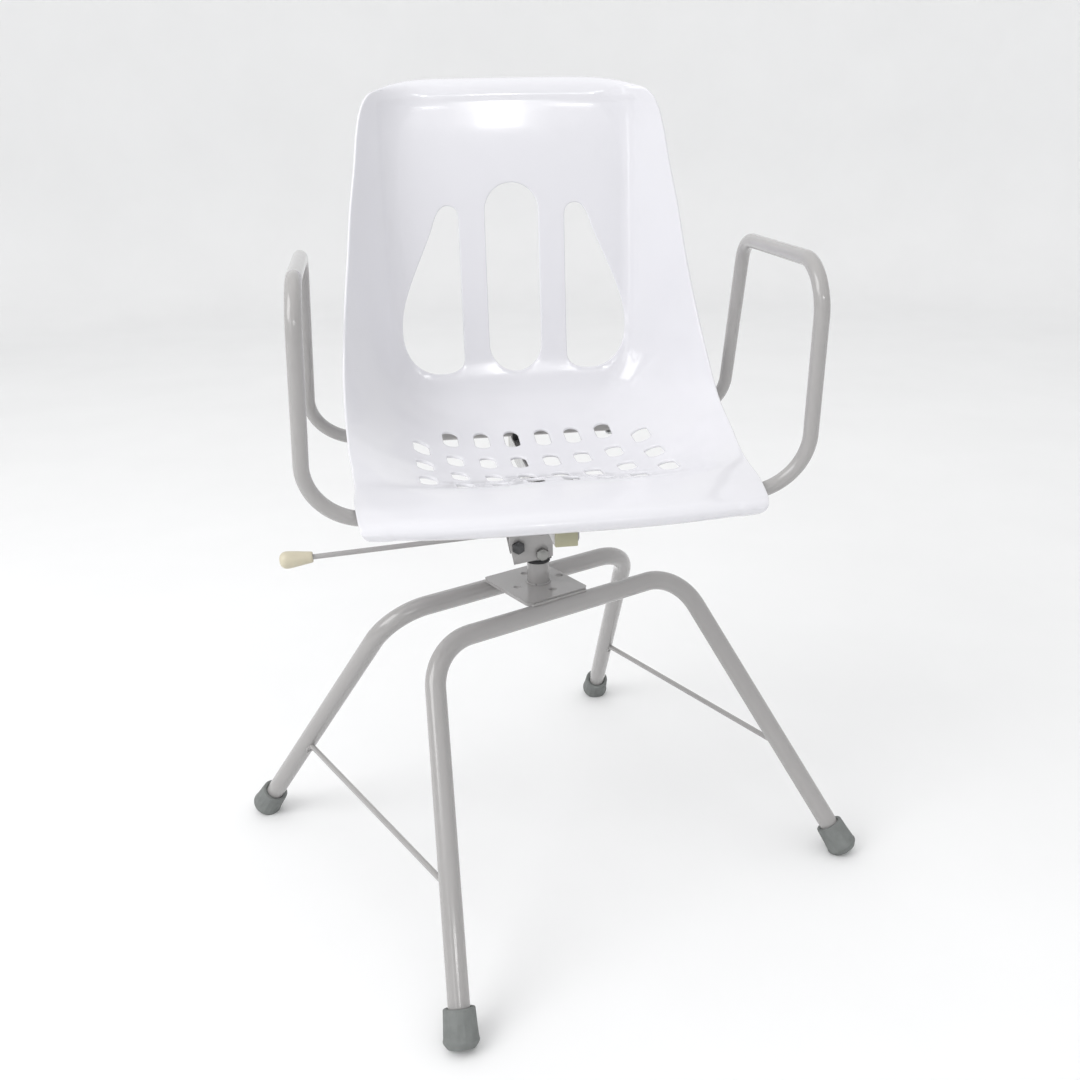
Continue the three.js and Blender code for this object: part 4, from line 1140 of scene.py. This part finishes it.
def close_rim(bm, faces, surface, normals, top_verts, low_verts):
    """Joins the two skins with a rounded edge along the rim and round every hole."""
    sides = [(face[i], face[(i + 1) % 3]) for face in faces for i in range(3)]
    known = set(sides)
    rim = [(a, b) for a, b in sides if (b, a) not in known]
    outward = np.zeros_like(surface)
    for a, b in rim:
        direction = np.cross(surface[b] - surface[a], normals[a])
        outward[a] += direction / np.linalg.norm(direction)
        outward[b] += direction / np.linalg.norm(direction)
    rings = {}
    for vertex in {v for pair in rim for v in pair}:
        d = outward[vertex] / np.linalg.norm(outward[vertex])
        ring = [top_verts[vertex]]
        for out_by, down in EDGE_PROFILE[1:]:
            ring.append(bm.verts.new(surface[vertex] + d * out_by - normals[vertex] * down))
        rings[vertex] = ring + [low_verts[vertex]]
    for a, b in rim:
        for k in range(len(EDGE_PROFILE)):
            bm.faces.new((rings[b][k], rings[a][k], rings[a][k + 1], rings[b][k + 1]))


BOSS = {"x": 110, "radius": 8, "bore": 3.2, "front": 492, "rear": 512}


def add_bosses(bm):
    """The moulded bosses that stand on the cross tubes."""
    foot = CROSS_Z + CROSS_OUTER + GAP
    bore, radius = BOSS["bore"], BOSS["radius"]
    for side in (-1, 1):
        for name in ("front", "rear"):
            top = BOSS[name]
            outline = [(bore, foot + 2), (bore, foot), (radius, foot), (radius + 0.4, top), (0.5, top)]
            axis = Matrix.Translation((side * BOSS["x"], CROSS[name], 0))
            turned(bm, [(0, foot + 2)] + rounded(outline, 0.5, 3) + [(0, top)], axis, sides=40)


def make_shell():
    across, t, faces = shell_plan()
    surface, normals = shell_surface(across, t), shell_normals(across, t)
    surface = surface - normals * panel_recess(surface, t)[:, None]
    under = surface - normals * SHELL_WALL
    bm = bmesh.new()
    top_verts = [bm.verts.new(p) for p in surface]
    low_verts = [bm.verts.new(p) for p in under]
    for a, b, c in faces:
        bm.faces.new((top_verts[a], top_verts[b], top_verts[c]))
        bm.faces.new((low_verts[c], low_verts[b], low_verts[a]))
    close_rim(bm, faces, surface, normals, top_verts, low_verts)
    for vertex in [v for v in bm.verts if not v.link_faces]:
        bm.verts.remove(vertex)
    add_bosses(bm)
    stand_for("seat_shell", bm, sharp=40)


# ---- making everything ---------------------------------------------------------------------------
BEVELLED = (
    "lever_bracket", "pin_guide", "spring_tab", "centre_beam", "tube_saddle_front", "tube_saddle_rear",
)

set_camera()
set_stage()
for end, sy in (("front", -1), ("rear", 1)):
    make_leg(f"leg_tube_{end}", sy)
    make_cross_tube(f"cross_tube_{end}", CROSS[end])
    for side_name, sx in (("left", -1), ("right", 1)):
        make_ferrule(f"ferrule_{end}_{side_name}", sx, sy)
        make_screw(f"arm_screw_{end}_{side_name}")
        make_screw(f"shell_screw_{end}_{side_name}")
for side_name, sx in (("left", -1), ("right", 1)):
    make_brace(f"brace_rod_{side_name}", sx)
    make_arm(f"arm_loop_{side_name}", sx)
make_plate()
make_plate_welds()
make_ring("spindle_tube", SPINDLE_BORE, turn=True)
make_ring("retaining_washer", WASHER_BORE)
make_bush("upper_bush", False)
make_bush("lower_bush", True)
for node in BEVELLED:
    bevelled_copy(node, 0.5)
for end in ("front", "rear"):
    # The beam plugs take the darker ivory, whose lower tone is painted shade for the shadow under the seat.
    bevelled_copy(f"beam_plug_{end}", 1.0, 3).data.materials[0] = MATERIALS["plug_plastic_painted_shade"]
make_bolts()
make_pins()
make_lever()
make_spring()
make_shell()
